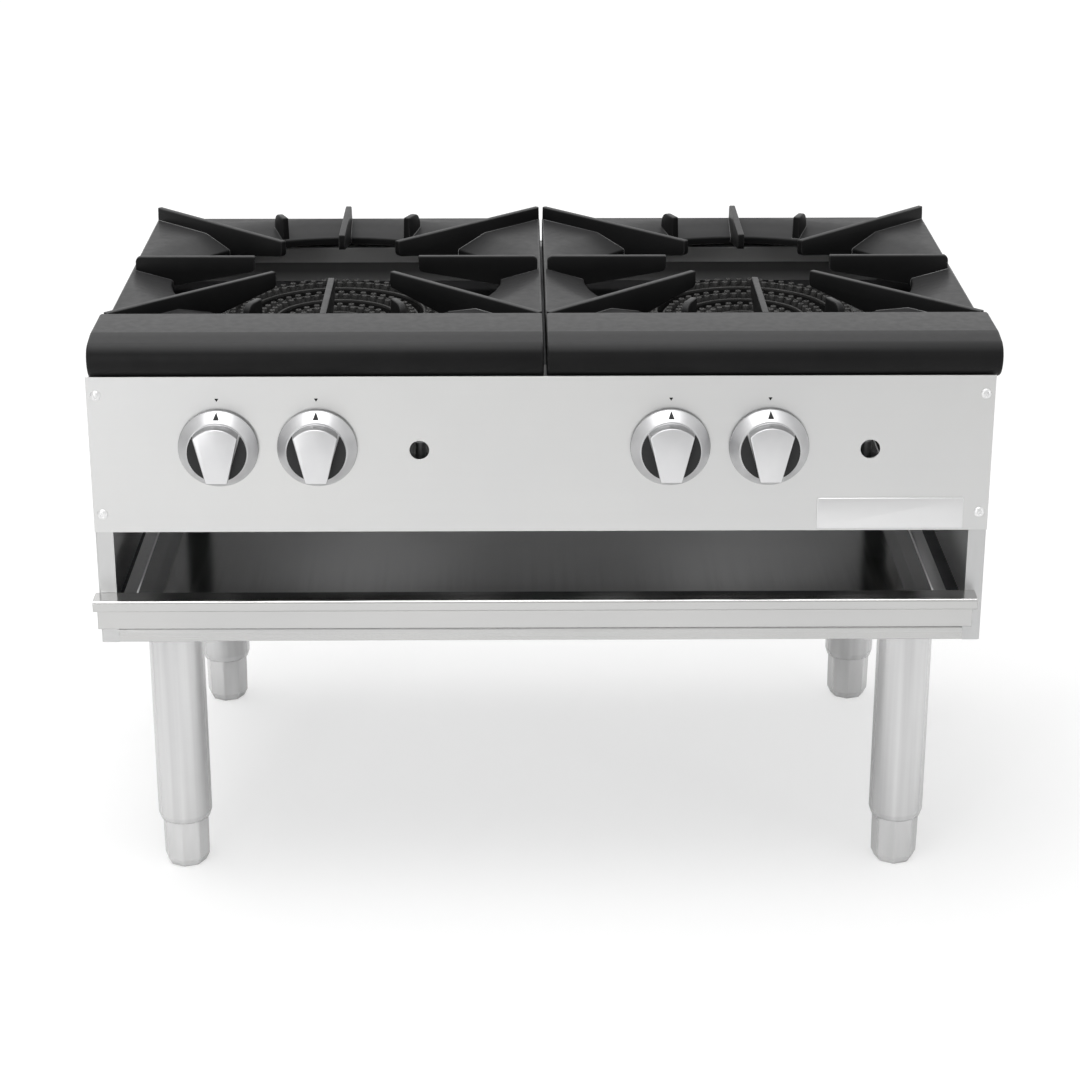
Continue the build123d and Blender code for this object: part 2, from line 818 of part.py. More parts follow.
# Pan with a hem turned outwards along both sides and the rear.
def tray_pan():
    near = tray_face_y
    far = rear_flange_y - sheet - tray_rear_gap
    pan = block(-half_pan, half_pan, near, far, tray_floor, tray_rim)
    pan -= block(
        -half_pan + tray_sheet, half_pan - tray_sheet, near + tray_sheet, far - tray_sheet,
        tray_floor + tray_sheet, tray_rim + 1,
    )
    hem_low = tray_rim - tray_sheet
    pan += block(half_pan, half_pan + tray_hem, near, far, hem_low, tray_rim)
    pan += block(-half_pan - tray_hem, -half_pan, near, far, hem_low, tray_rim)
    return Pos(tray_shift, 0, 0) * pan


# ---- Legs ----


# Tube with a rounded lower shoulder, a nut inside for the foot's screw and a stud on top.
def leg(x, y):
    inside = leg_radius - leg_wall
    throat = foot_radius + shaft_gap
    top = body_bottom
    nut_low = foot_reach + foot_spigot + foot_travel_up + 2
    nut_high = nut_low + leg_nut_height
    tube = turned(
        (throat, foot_reach), (leg_radius - leg_shoulder / 2, foot_reach + leg_shoulder / 4),
        (leg_radius, foot_reach + leg_shoulder), (leg_radius, top), (stud_radius, top),
        (stud_radius, top + stud_length), (0, top + stud_length), (0, top - leg_cap),
        (inside, top - leg_cap), (inside, nut_high), (foot_screw_radius + shaft_gap, nut_high),
        (foot_screw_radius + shaft_gap, nut_low), (throat, nut_low),
    )
    return Pos(x, y, 0) * tube


# Foot with eight tapered flats at its lower end and a screw above its spigot.
def leg_foot(x, y):
    top = foot_reach + foot_spigot
    body = turned(
        (0, 0), (foot_radius, 0), (foot_radius, top), (foot_screw_radius, top),
        (foot_screw_radius, top + foot_screw_length), (0, top + foot_screw_length),
    )
    flats = loft([
        RegularPolygon(foot_flat_radius, 8, major_radius=False),
        Pos(0, 0, foot_flat_height) * RegularPolygon(foot_radius + 0.5, 8, major_radius=False),
    ])
    above = rod_z(foot_radius + 1, 0, 0, foot_flat_height, top + foot_screw_length + 1)
    return Pos(x, y, 0) * (body & (flats + above))


# Plates welded on the bottom flanges, one over each leg, that take the studs.
def leg_gussets():
    low = body_bottom + sheet
    half = gusset_size / 2
    plates = []
    for x, y in leg_places.values():
        plate = block(x - half, x + half, y - half, y + half, low, low + gusset_sheet)
        plates.append(plate - rod_z(stud_radius + hole_gap, x, y, low - 1, low + gusset_sheet + 1))
    return Compound(children=plates)


# ---- The parts ----

parts = {
    "side_panel_left": side_panel(-1),
    "side_panel_right": side_panel(1),
    "back_panel": back_panel(),
    "front_panel": front_panel(),
    "top_rail_front": top_rail(post_y + sheet, 1, top_rail_depth, top_rail_drop),
    "top_rail_rear": top_rail(rear_flange_y - sheet, -1, rear_rail_depth, rear_rail_drop),
    "centre_rail": centre_rail(),
    "cross_rail_front": cross_rail(post_y, 1),
    "cross_rail_rear": cross_rail(rear_flange_y, -1),
    "tray_guide_left": tray_guide(-1),
    "tray_guide_right": tray_guide(1),
    "burner_rail_front": burner_rail(1),
    "burner_rail_rear": burner_rail(-1),
    "panel_screws": panel_screws(),
    "nameplate": nameplate(),
    "manifold_pipe": manifold_pipe(),
    "manifold_brackets": manifold_brackets(),
    "leg_gussets": leg_gussets(),
    "tray_pan": tray_pan(),
    "tray_front": tray_front(),
    "grate_left": grate(-1),
    "grate_right": grate(1),
}

for name, (leg_x, leg_y) in leg_places.items():
    parts["leg_" + name] = leg(leg_x, leg_y)
    parts["foot_" + name] = leg_foot(leg_x, leg_y)

for section, centre in zip(("left", "right"), section_centres):
    parts["burner_" + section] = burner(centre)
    parts["pilot_" + section] = pilot(centre)
    outer_entry = burner_y - sqrt(outer_ring**2 - knob_pitch**2)
    inner_entry = burner_y - ring_radii[-1]
    stations = {"outer": (centre - knob_pitch, outer_entry), "inner": (centre, inner_entry)}
    for ring, (station_x, entry_y) in stations.items():
        tail = "_" + section + "_" + ring
        parts["mixer_tube" + tail] = mixer_tube(station_x, entry_y)
        parts["air_shutter" + tail] = air_shutter(station_x)
        parts["gas_valve" + tail] = gas_valve(station_x)
        parts["valve_stem" + tail] = valve_stem(station_x)
        parts["knob" + tail] = knob(station_x)
        parts["knob_inserts" + tail] = knob_inserts(station_x)

for name, shape in parts.items():
    export_step(shape, "parts/" + name + ".step")
print(len(parts), "parts written")
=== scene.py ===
# Looks of a two-section stock pot range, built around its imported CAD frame.
# Sizes in the dictionaries are millimetres: X to the right, the front faces -Y, Z up, the floor at zero.
import math
import bmesh
import bpy
import numpy as np
from mathutils import Euler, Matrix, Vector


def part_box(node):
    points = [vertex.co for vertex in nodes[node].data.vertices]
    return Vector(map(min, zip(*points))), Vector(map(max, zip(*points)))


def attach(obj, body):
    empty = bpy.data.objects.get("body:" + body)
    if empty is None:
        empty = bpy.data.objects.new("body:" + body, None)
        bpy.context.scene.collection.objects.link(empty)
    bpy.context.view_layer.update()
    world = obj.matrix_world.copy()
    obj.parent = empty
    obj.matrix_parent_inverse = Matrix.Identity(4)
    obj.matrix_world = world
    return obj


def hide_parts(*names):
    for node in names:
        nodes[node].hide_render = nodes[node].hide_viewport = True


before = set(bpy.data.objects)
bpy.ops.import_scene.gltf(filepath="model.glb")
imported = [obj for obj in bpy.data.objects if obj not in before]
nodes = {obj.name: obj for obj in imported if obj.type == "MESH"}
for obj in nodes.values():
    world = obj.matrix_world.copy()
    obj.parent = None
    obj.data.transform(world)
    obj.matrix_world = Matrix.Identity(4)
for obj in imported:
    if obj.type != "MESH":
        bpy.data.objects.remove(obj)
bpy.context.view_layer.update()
mm = 0.001
poleRadius = 0.01  # where a turned shape comes to its axis
samePoint = 1e-6  # points of a line that are closer than this are one
sides = ("left", "right")
stations = [side + "_" + ring for side in sides for ring in ("outer", "inner")]
corners = [end + "_" + side for end in ("front", "rear") for side in sides]
print("frame loaded,", len(nodes), "nodes")


# Lowest and highest corner of a CAD node in millimetres.
def nodeBox(name):
    low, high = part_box(name)
    return np.array(low) / mm, np.array(high) / mm


# Middle of a box seen from above, on the floor.
def footprint(low, high):
    return np.array([(low[0] + high[0]) / 2, (low[1] + high[1]) / 2, 0.0])


potPlane = nodeBox("grate_left")[1][2]

# Camera, floor and light.

cameraLook = dict(
    place=(-22.9, -2809.9, 1371.3),
    downDegrees=21.06,
    turnDegrees=-0.487,
    lens=88.04,
    sensor=36.0,
    farEnd=60.0,  # metres
)


def makeCamera(look):
    data = bpy.data.cameras.new("viewCamera")
    data.sensor_width = look["sensor"]
    data.lens = look["lens"]
    data.clip_end = look["farEnd"]
    camera = bpy.data.objects.new("viewCamera", data)
    camera.location = [value * mm for value in look["place"]]
    tilt, turn = math.radians(90 - look["downDegrees"]), math.radians(look["turnDegrees"])
    camera.rotation_euler = Euler((tilt, 0, turn))
    bpy.context.scene.collection.objects.link(camera)
    bpy.context.scene.camera = camera


makeCamera(cameraLook)
bpy.context.scene.view_settings.view_transform = "Standard"


# One shader node: inputs are sockets to link or plain values, settings are its properties.
def addNode(tree, kind, inputs=None, **settings):
    made = tree.nodes.new("ShaderNode" + kind)
    for name, value in settings.items():
        setattr(made, name, value)
    for key, value in (inputs or {}).items():
        if isinstance(value, bpy.types.NodeSocket):
            tree.links.new(value, made.inputs[key])
        else:
            made.inputs[key].default_value = value
    return made


# Result of a Math node on sockets or plain values.
def calc(tree, operation, *values, **settings):
    return addNode(tree, "Math", dict(enumerate(values)), operation=operation, **settings).outputs[0]


# Goes from low to high, and no further, while the value goes from start to end.
def ramp(tree, value, start, end, low=0.0, high=1.0):
    inputs = {"Value": value, "From Min": start, "From Max": end, "To Min": low, "To Max": high}
    return addNode(tree, "MapRange", inputs).outputs[0]


# Mix of two values, or of two colours, by a factor. A Mix node has its own sockets for each kind.
def mix(tree, factor, plain, other, kind="FLOAT"):
    first, result = {"FLOAT": (2, 0), "RGBA": (6, 2)}[kind]
    made = addNode(tree, "Mix", {"Factor": factor, first: plain, first + 1: other}, data_type=kind)
    return made.outputs[result]


def objectPlace(tree):
    return addNode(tree, "TexCoord").outputs["Object"]


# Empty node tree of a material or of the world.
def emptyTree(owner):
    owner.use_nodes = True
    owner.node_tree.nodes.clear()
    return owner.node_tree


white = (1, 1, 1, 1)

stageLook = dict(
    ambient=0.60,  # strength of the world for soft light
    horizon=0.60,  # strength of the world in reflections, at the horizon and overhead
    zenith=1.00,
    backdrop=0.35,  # more of it in reflections of what stands behind
    floorColour=(0.90, 0.90, 0.90, 1),
    seenColour=(0.55, 0.55, 0.55, 1),  # of the floor to the camera, with a lift that makes it white
    nearFloor=1.0,  # metres from the object, where the lift starts to grow and where it is full
    farFloor=4.0,
    nearLift=0.50,
    farLift=0.70,
    floorHalf=15.0,  # metres
    lamps=dict(  # place and size in metres, power in watts
        overhead=dict(place=(-0.5, -0.2, 3.2), size=(3.4, 2.6), power=72.0, aim=(0.0, 0.0, 0.5)),
        leftStrip=dict(place=(-1.3, -2.9, 0.9), size=(0.4, 1.7), power=9.0, aim=(0.0, 0.0, 0.5)),
        rightStrip=dict(place=(2.3, -2.0, 0.9), size=(0.4, 1.7), power=4.5, aim=(0.0, 0.0, 0.5)),
    ),
)


# World: white to the camera. In reflections it grows from the horizon's strength to the zenith's with
# the height of the direction, and is brighter behind the object; for soft light it is even.
def makeWorld(look):
    world = bpy.data.worlds.new("studio")
    tree = emptyTree(world)
    path = addNode(tree, "LightPath").outputs
    direction = addNode(tree, "TexCoord").outputs["Generated"]
    parts = addNode(tree, "SeparateXYZ", {0: direction}).outputs
    above = ramp(tree, parts["Z"], 0.0, 1.0, look["horizon"], look["zenith"])
    behind = ramp(tree, parts["Y"], 0.0, 1.0, 0.0, look["backdrop"])
    soft = mix(tree, path["Is Glossy Ray"], look["ambient"], calc(tree, "ADD", above, behind))
    seen = calc(tree, "MAXIMUM", path["Is Camera Ray"], path["Is Transmission Ray"])
    background = addNode(tree, "Background", {"Color": white, "Strength": mix(tree, seen, soft, 1.0)})
    addNode(tree, "OutputWorld", {"Surface": background.outputs[0]})
    bpy.context.scene.world = world


# Floor: pale. To the camera it is a part grey and a part glow that grows with the distance from the
# object, so that the open floor is white and the shadow soft.
def makeFloor(look):
    half = look["floorHalf"]
    square = [(-half, -half, 0), (half, -half, 0), (half, half, 0), (-half, half, 0)]
    mesh = bpy.data.meshes.new("floor")
    mesh.from_pydata(square, [], [(0, 1, 2, 3)])
    floor = bpy.data.objects.new("floor", mesh)
    bpy.context.scene.collection.objects.link(floor)
    material = bpy.data.materials.new("paleFloor")
    tree = emptyTree(material)
    seen = addNode(tree, "LightPath").outputs["Is Camera Ray"]
    colour = mix(tree, seen, look["floorColour"], look["seenColour"], kind="RGBA")
    paint = addNode(tree, "BsdfDiffuse", {"Color": colour})
    away = addNode(tree, "VectorMath", {0: objectPlace(tree)}, operation="LENGTH").outputs["Value"]
    lift = ramp(tree, away, look["nearFloor"], look["farFloor"], look["nearLift"], look["farLift"])
    glow = addNode(tree, "Emission", {"Color": white, "Strength": calc(tree, "MULTIPLY", seen, lift)})
    both = addNode(tree, "AddShader", {0: paint.outputs[0], 1: glow.outputs[0]})
    addNode(tree, "OutputMaterial", {"Surface": both.outputs[0]})
    mesh.materials.append(material)


def makeLamps(look):
    for name, lamp in look["lamps"].items():
        data = bpy.data.lights.new(name, "AREA")
        data.shape = "RECTANGLE"
        data.size, data.size_y = lamp["size"]
        data.energy = lamp["power"]
        light = bpy.data.objects.new(name, data)
        light.location = lamp["place"]
        light.visible_camera = False
        aim = np.array(lamp["aim"]) - np.array(lamp["place"])
        flat = math.hypot(aim[0], aim[1])
        light.rotation_euler = Euler((math.atan2(flat, -aim[2]), 0, math.atan2(-aim[0], aim[1])))
        bpy.context.scene.collection.objects.link(light)


makeWorld(stageLook)
makeFloor(stageLook)
makeLamps(stageLook)
print("camera, floor and light ready")

# Effects shared by several finishes.

noiseRange = (0.3, 0.7)  # most of a noise lies between these


# Starts a node group with these inputs; hands back its tree and the sockets that give them.
def newGroup(name, **inputs):
    tree = bpy.data.node_groups.new(name, "ShaderNodeTree")
    for label, value in inputs.items():
        kind = "NodeSocketVector" if isinstance(value, tuple) else "NodeSocketFloat"
        tree.interface.new_socket(label, in_out="INPUT", socket_type=kind).default_value = value
    return tree, tree.nodes.new("NodeGroupInput").outputs


# Links sockets to the inputs of these names.
def feed(tree, inputs, **sockets):
    for name, socket in sockets.items():
        tree.links.new(socket, inputs[name])


# Ends a node group with these outputs and hands it back.
def endGroup(tree, **sockets):
    for label, socket in sockets.items():
        kind = "NodeSocketVector" if socket.type == "VECTOR" else "NodeSocketFloat"
        tree.interface.new_socket(label, in_out="OUTPUT", socket_type=kind)
    feed(tree, tree.nodes.new("NodeGroupOutput").inputs, **sockets)
    return tree


def trueNormal(tree):
    return addNode(tree, "NewGeometry").outputs["Normal"]


def dotProduct(tree, first, second):
    return addNode(tree, "VectorMath", {0: first, 1: second}, operation="DOT_PRODUCT").outputs["Value"]


# Noise over a place: detail is the number of finer layers, roughness their weight.
def noiseAt(tree, place, scale, detail, roughness=0.5):
    inputs = {"Vector": place, "Scale": scale, "Detail": detail, "Roughness": roughness}
    return addNode(tree, "TexNoise", inputs).outputs[0]


# Brushed grain: noise on object coordinates, stretched far along one axis, at two widths.
def makeBrushedGrain():
    tree, given = newGroup("brushedGrain", Stretch=(8.0, 900.0, 900.0))
    fineSpot = addNode(tree, "VectorMath", {0: objectPlace(tree), 1: given["Stretch"]}, operation="MULTIPLY")
    wideShare = 0.22  # scale of the wide grain against the fine one
    wideSpot = addNode(tree, "VectorMath", {0: fineSpot.outputs[0], "Scale": wideShare}, operation="SCALE")
    fine = noiseAt(tree, fineSpot.outputs[0], 1.0, detail=2.0)
    wide = noiseAt(tree, wideSpot.outputs[0], 1.0, detail=3.0)
    return endGroup(tree, Height=calc(tree, "ADD", fine, wide), Streaks=wide)


# Soft patches: wide noise turned into a value between two limits, for handling marks and tint.
def makeSoftPatches():
    tree, given = newGroup("softPatches", Scale=6.0, Low=0.0, High=1.0)
    noise = noiseAt(tree, objectPlace(tree), given["Scale"], detail=4.0, roughness=0.55)
    return endGroup(tree, Value=ramp(tree, noise, *noiseRange, given["Low"], given["High"]))


# Edge line: the normal of a rounded edge, and a mask where it leaves the true normal.
def makeEdgeLine():
    tree, given = newGroup("edgeLine", Radius=0.0008, Gain=4.0)
    rounded = addNode(tree, "Bevel", {"Radius": given["Radius"]}, samples=4).outputs[0]
    away = calc(tree, "SUBTRACT", 1.0, dotProduct(tree, rounded, trueNormal(tree)))
    mask = calc(tree, "MULTIPLY", away, given["Gain"], use_clamp=True)
    return endGroup(tree, Normal=rounded, Mask=mask)


# Inner face: 1 where a wall looks to the middle of the body, from its place and its normal. Painted shade
# grows on it from a low height to a high one, and a painted shadow stands in a band near both ends of
# the body: full up to the core's half width and gone at the fade's. The inputs are metres.
def makeInnerFace():
    tree, given = newGroup("innerFace", Reach=-0.004, Low=0.48, High=0.53, Band=0.41, Core=0.013, Fade=0.019)
    place = objectPlace(tree)
    level = addNode(tree, "VectorMath", {0: place, 1: (1.0, 1.0, 0.0)}, operation="MULTIPLY").outputs[0]
    mask = calc(tree, "LESS_THAN", dotProduct(tree, level, trueNormal(tree)), given["Reach"])
    parts = addNode(tree, "SeparateXYZ", {0: place}).outputs
    soot = ramp(tree, parts["Z"], given["Low"], given["High"])
    away = calc(tree, "ABSOLUTE", calc(tree, "SUBTRACT", calc(tree, "ABSOLUTE", parts["X"]), given["Band"]))
    band = ramp(tree, away, given["Core"], given["Fade"], 1.0, 0.0)
    return endGroup(tree, Mask=mask, Soot=calc(tree, "MAXIMUM", soot, band))


# Facing: grows from 0 to 1 as the normal turns towards the given axis.
def makeFacing():
    tree, given = newGroup("facing", Axis=(0.0, 0.0, 1.0), Low=0.5, High=0.9)
    along = dotProduct(tree, trueNormal(tree), given["Axis"])
    return endGroup(tree, Mask=ramp(tree, along, given["Low"], given["High"]))


# Cast skin: sand grain from fine noise, low swells from wide noise and pits from cell distance.
def makeCastSkin():
    tree, given = newGroup("castSkin", Scale=420.0, Pits=0.3)
    swellShare, swellDepth = 0.12, 0.3  # of the swells' scale and height against the sand's
    place = objectPlace(tree)
    sand = noiseAt(tree, place, given["Scale"], detail=3.0, roughness=0.6)
    swell = noiseAt(tree, place, calc(tree, "MULTIPLY", given["Scale"], swellShare), detail=3.0)
    cells = addNode(tree, "TexVoronoi", {"Vector": place, "Scale": given["Scale"]}).outputs["Distance"]
    pits = calc(tree, "MULTIPLY", cells, given["Pits"])
    rough = calc(tree, "MULTIPLY_ADD", swell, swellDepth, sand)
    return endGroup(tree, Height=calc(tree, "ADD", rough, pits), Tone=swell)


brushedGrain = makeBrushedGrain()
softPatches = makeSoftPatches()
edgeLine = makeEdgeLine()
innerFace = makeInnerFace()
facing = makeFacing()
castSkin = makeCastSkin()


def useGroup(tree, group, **inputs):
    made = tree.nodes.new("ShaderNodeGroup")
    made.node_tree = group
    for key, value in inputs.items():
        made.inputs[key].default_value = value
    return made.outputs


# Finishes.


# Starts a material: its tree and its shader with the plain values set on the sockets.
def newMaterial(name, values):
    material = bpy.data.materials.new(name)
    tree = emptyTree(material)
    shader = addNode(tree, "BsdfPrincipled", values)
    addNode(tree, "OutputMaterial", {"Surface": shader.outputs[0]})
    return material, tree, shader


# Links a mix of two colours, chosen by a mask, to the base colour; each may be a mix itself.
def mixColour(tree, shader, mask, *colours):
    pair = [colour if isinstance(colour, bpy.types.NodeSocket) else (*colour, 1) for colour in colours]
    result = mix(tree, mask, *pair, kind="RGBA")
    tree.links.new(result, shader.inputs["Base Color"])
    return result


# Bump from a height, as deep as the distance, on top of a rounded normal where one is given.
def bumpNormal(tree, shader, height, strength, distance, rounded=None):
    inputs = {"Height": height, "Strength": strength, "Distance": distance * mm}
    if rounded is not None:
        inputs["Normal"] = rounded
    feed(tree, shader.inputs, Normal=addNode(tree, "Bump", inputs).outputs[0])


# Metal sheet or bar: grain moves its roughness and surface, patches its tone. Inner faces have a colour
# that goes from painted light low down to painted shade higher up, and are duller: only a part of them
# shines as bare metal.
def makeMetal(name, look):
    look = {**metalBase, **look}
    material, tree, shader = newMaterial(name, {"Metallic": look["metallic"]})
    grain = useGroup(tree, brushedGrain, Stretch=look["stretch"])
    tone = useGroup(tree, softPatches, Scale=look["patchScale"])
    colour = mixColour(tree, shader, tone["Value"], look["colour"], look["second"])
    # Painted shade: faces that turn away from the front take the darker side colour.
    if "side" in look:
        front = useGroup(tree, facing, Axis=(0.0, -1.0, 0.0))["Mask"]
        colour = mixColour(tree, shader, front, look["side"], colour)
    # Streaks: partly drawn grain, partly a painted reflection of the bright and dark bands a tube mirrors.
    if "streak" in look:
        colour = mixColour(tree, shader, grain["Streaks"], colour, look["streak"])
    # Inner faces: painted light low down, painted shade higher up, and a painted shadow band near both ends.
    if "inside" in look:
        inner = useGroup(tree, innerFace, Band=look["bandAt"])
        within = mixColour(tree, shader, inner["Soot"], *look["inside"])
        mixColour(tree, shader, inner["Mask"], colour, within)
        feed(tree, shader.inputs, Metallic=ramp(tree, inner["Mask"], 0.0, 1.0, 1.0, look["insideBare"]))
    feed(tree, shader.inputs, Roughness=ramp(tree, grain["Streaks"], *noiseRange, *look["roughness"]))
    rounded = useGroup(tree, edgeLine, Radius=look["edge"] * mm)["Normal"] if look["edge"] else None
    bumpNormal(tree, shader, grain["Height"], look["grain"], distance=0.1, rounded=rounded)
    return material


# Casting: sand skin in its surface, tone from the swells, worn lighter along its edges, which is also a
# painted highlight there, and, where a pot plane is given, rubbed lighter within a millimetre or two of
# it, partly painted top light. Dust and painted top light lie on what looks up.
def makeCasting(name, look):
    shine = {"Metallic": look["metallic"], "Specular IOR Level": look["gloss"]}
    material, tree, shader = newMaterial(name, shine)
    skin = useGroup(tree, castSkin, Scale=look["skin"], Pits=look["pits"])
    edge = useGroup(tree, edgeLine, Radius=look["edge"] * mm, Gain=look["wear"])
    tone = useGroup(tree, softPatches, Scale=look["patchScale"])
    # Lighter edges: wear and a painted highlight.
    worn = calc(tree, "MULTIPLY", edge["Mask"], tone["Value"])
    # Rib tops near the pot plane: rubbing wear and painted top light.
    if "rubbed" in look:
        height = addNode(tree, "SeparateXYZ", {0: objectPlace(tree)}).outputs["Z"]
        rubbed = ramp(tree, height, look["rubbedFrom"] * mm, look["rubbedTo"] * mm, 0.0, look["rubbed"])
        worn = calc(tree, "MAXIMUM", worn, rubbed)
    colour = mixColour(tree, shader, tone["Value"], look["colour"], look["second"])
    # Faces that look up: dust and painted top light.
    if "dust" in look:
        upward = useGroup(tree, facing, Low=look["dustFrom"], High=1.0)["Mask"]
        colour = mixColour(tree, shader, upward, colour, look["dust"])
    mixColour(tree, shader, worn, colour, look["wornColour"])
    feed(tree, shader.inputs, Roughness=ramp(tree, skin["Tone"], *noiseRange, *look["roughness"]))
    bumpNormal(tree, shader, skin["Height"], look["relief"], distance=0.3, rounded=edge["Normal"])
    return material


# Moulded plastic or paint: fine skin, small change of roughness.
def makePlain(name, look):
    material, tree, shader = newMaterial(name, {"Metallic": 0.0, "Specular IOR Level": look["gloss"]})
    low, high = look["roughness"]
    skin = useGroup(tree, castSkin, Scale=look["skin"], Pits=0.0)
    mixColour(tree, shader, skin["Tone"], look["colour"], look["second"])
    feed(tree, shader.inputs, Roughness=useGroup(tree, softPatches, Scale=20.0, Low=low, High=high)["Value"])
    bumpNormal(tree, shader, skin["Height"], look["relief"], distance=0.1)
    return material


def grey(value):
    return (value, value, value)


# One row of a finish table: a colour, the one it is patched with, least and most roughness, and the rest.
def tones(colour, second, roughness, **more):
    return dict(colour=colour, second=second, roughness=roughness, **more)


alongX, upright = (11.0, 700.0, 700.0), (700.0, 700.0, 11.0)  # the way of the grain
sheetTones = (0.62, 0.62, 0.615), (0.56, 0.565, 0.57)
metalBase = dict(
    metallic=1.0, stretch=alongX, grain=0.05, edge=0.6, patchScale=3.0,
    insideBare=0.0, bandAt=2.0,  # metres: a band past the body's end isn't seen
)
metalLooks = dict(  # each over the base
    panelSteel=tones(
        (0.71, 0.71, 0.702), (0.67, 0.672, 0.672), (0.30, 0.38), grain=0.035, edge=0.7, patchScale=2.2,
    ),
    # inside: colours of the inner faces, painted light below and painted shade above.
    bodySteel=tones(*sheetTones, (0.30, 0.42), stretch=upright, inside=[grey(0.90), grey(0.10)]),
    backSteel=tones(
        *sheetTones, (0.34, 0.46), stretch=upright, inside=[grey(0.74), grey(0.05)], bandAt=0.424,
    ),
    railSteel=tones(grey(0.50), grey(0.42), (0.34, 0.46), metallic=0.45),
    lipSteel=tones((0.62, 0.617, 0.61), (0.57, 0.57, 0.566), (0.15, 0.22), grain=0.012, edge=1.6),
    # Hem finish: the tray's steel paler and less metallic, a painted highlight along the folded edges.
    hemSteel=tones(
        grey(0.92), grey(0.86), (0.3, 0.4), metallic=0.2, stretch=(60.0, 9.0, 60.0), grain=0.02,
        edge=None, patchScale=20.0,
    ),
    frontSteel=tones(
        (0.61, 0.607, 0.60), (0.56, 0.56, 0.556), (0.24, 0.30), stretch=(6.0, 900.0, 900.0), grain=0.01,
    ),
    # The tray's inside colour is painted shade on the pan's inner walls.
    traySteel=tones(
        grey(0.76), (0.70, 0.70, 0.705), (0.09, 0.14), stretch=(700.0, 11.0, 700.0), grain=0.03,
        patchScale=4.0, inside=[grey(0.30), grey(0.30)], insideBare=0.5,
    ),
    # Legs and feet: their streak colour is drawn grain and painted reflection bands.
    legSteel=tones(
        (0.90, 0.90, 0.895), (0.83, 0.832, 0.835), (0.16, 0.26), streak=grey(0.50), metallic=0.7,
        stretch=(420.0, 420.0, 7.0), grain=0.04, edge=None, patchScale=8.0,
    ),
    footSteel=tones(
        (0.90, 0.90, 0.895), (0.82, 0.822, 0.825), (0.14, 0.24), streak=grey(0.60), metallic=0.7,
        stretch=(260.0, 260.0, 40.0), grain=0.03, edge=0.5, patchScale=12.0,
    ),
    galvanised=tones(
        (0.16, 0.163, 0.166), (0.11, 0.113, 0.116), (0.38, 0.55), stretch=(60.0, 60.0, 60.0),
        edge=0.5, patchScale=14.0,
    ),
    # Burner rail's finish: steel painted dark as the shade inside the body.
    innerSteel=tones(
        (0.09, 0.09, 0.092), (0.06, 0.06, 0.062), (0.35, 0.5), stretch=(7.0, 900.0, 900.0), grain=0.06,
        edge=None, patchScale=5.0,
    ),
    knobChrome=tones(
        (0.71, 0.71, 0.715), (0.62, 0.62, 0.63), (0.38, 0.48), stretch=(160.0, 160.0, 160.0), grain=0.02,
        edge=None, patchScale=45.0,
    ),
    # Hoop finish: the chrome made darker, a painted shade line around the skirt.
    rimSteel=tones(
        (0.36, 0.36, 0.365), (0.30, 0.30, 0.31), (0.24, 0.34), stretch=(300.0, 300.0, 300.0), grain=0.02,
        edge=None, patchScale=40.0,
    ),
    # The grip's side colour is painted shade on its side walls.
    gripSteel=tones(
        (0.76, 0.76, 0.765), (0.71, 0.71, 0.72), (0.28, 0.36), side=(0.34, 0.34, 0.345),
        stretch=(700.0, 700.0, 60.0), grain=0.012, edge=0.5, patchScale=25.0,
    ),
    screwSteel=tones(
        grey(0.90), grey(0.82), (0.26, 0.36), metallic=0.75, stretch=(300.0, 300.0, 300.0), grain=0.03,
        edge=None, patchScale=60.0,
    ),
    plateSteel=tones(
        grey(0.80), (0.76, 0.76, 0.765), (0.28, 0.38), stretch=(9.0, 900.0, 900.0), edge=0.5,
        patchScale=9.0,
    ),
    valveBrass=tones(
        (0.78, 0.60, 0.30), (0.66, 0.50, 0.25), (0.24, 0.40), stretch=(200.0, 200.0, 200.0), edge=0.5,
        patchScale=30.0,
    ),
    pilotAluminium=tones(
        (0.74, 0.75, 0.76), (0.62, 0.63, 0.64), (0.30, 0.45), stretch=(120.0, 120.0, 120.0), grain=0.06,
        edge=None, patchScale=30.0,
    ),
)
# The burners' worn colour is wear and a painted highlight on rims and stud tops.
burnerFinish = dict(skin=600.0, pits=0.4, relief=0.5, edge=0.6, wear=3.0, patchScale=25.0)
castingLooks = dict(
    # Black casting: its rubbed value is wear and painted top light on the rib tops.
    blackCasting=tones(
        (0.008, 0.008, 0.0082), (0.013, 0.013, 0.0132), (0.34, 0.42), wornColour=grey(0.42),
        dust=(0.036, 0.036, 0.0365), dustFrom=0.45, metallic=0.0, gloss=0.10, skin=900.0, pits=0.1,
        relief=0.045, edge=1.1, wear=4.5, patchScale=9.0, rubbed=0.02,
        rubbedFrom=potPlane - 1.6, rubbedTo=potPlane - 0.4,
    ),
    # The bed is the burner's own iron made darker: painted shade between the studs.
    burnerBed=tones(
        grey(0.006), (0.010, 0.0098, 0.0096), (0.6, 0.8), wornColour=(0.30, 0.295, 0.29),
        metallic=0.0, gloss=0.12, **burnerFinish,
    ),
    burnerCasting=tones(
        (0.034, 0.0335, 0.033), (0.056, 0.055, 0.054), (0.45, 0.65), wornColour=(0.26, 0.255, 0.25),
        metallic=0.35, gloss=0.4, **burnerFinish,
    ),
)
plainLooks = dict(
    knobBlack=tones(
        (0.022, 0.022, 0.0225), (0.030, 0.030, 0.031), (0.5, 0.62), gloss=0.3, skin=1500.0, relief=0.2,
    ),
    pipeBlack=tones(grey(0.020), (0.034, 0.033, 0.032), (0.35, 0.5), gloss=0.4, skin=500.0, relief=0.3),
    markBlack=tones(grey(0.008), grey(0.012), (0.45, 0.55), gloss=0.3, skin=1500.0, relief=0.1),
)
finishes = {}
for maker, looks in ((makeMetal, metalLooks), (makeCasting, castingLooks), (makePlain, plainLooks)):
    finishes.update({name: maker(name, look) for name, look in looks.items()})
print("finishes ready:", len(finishes))

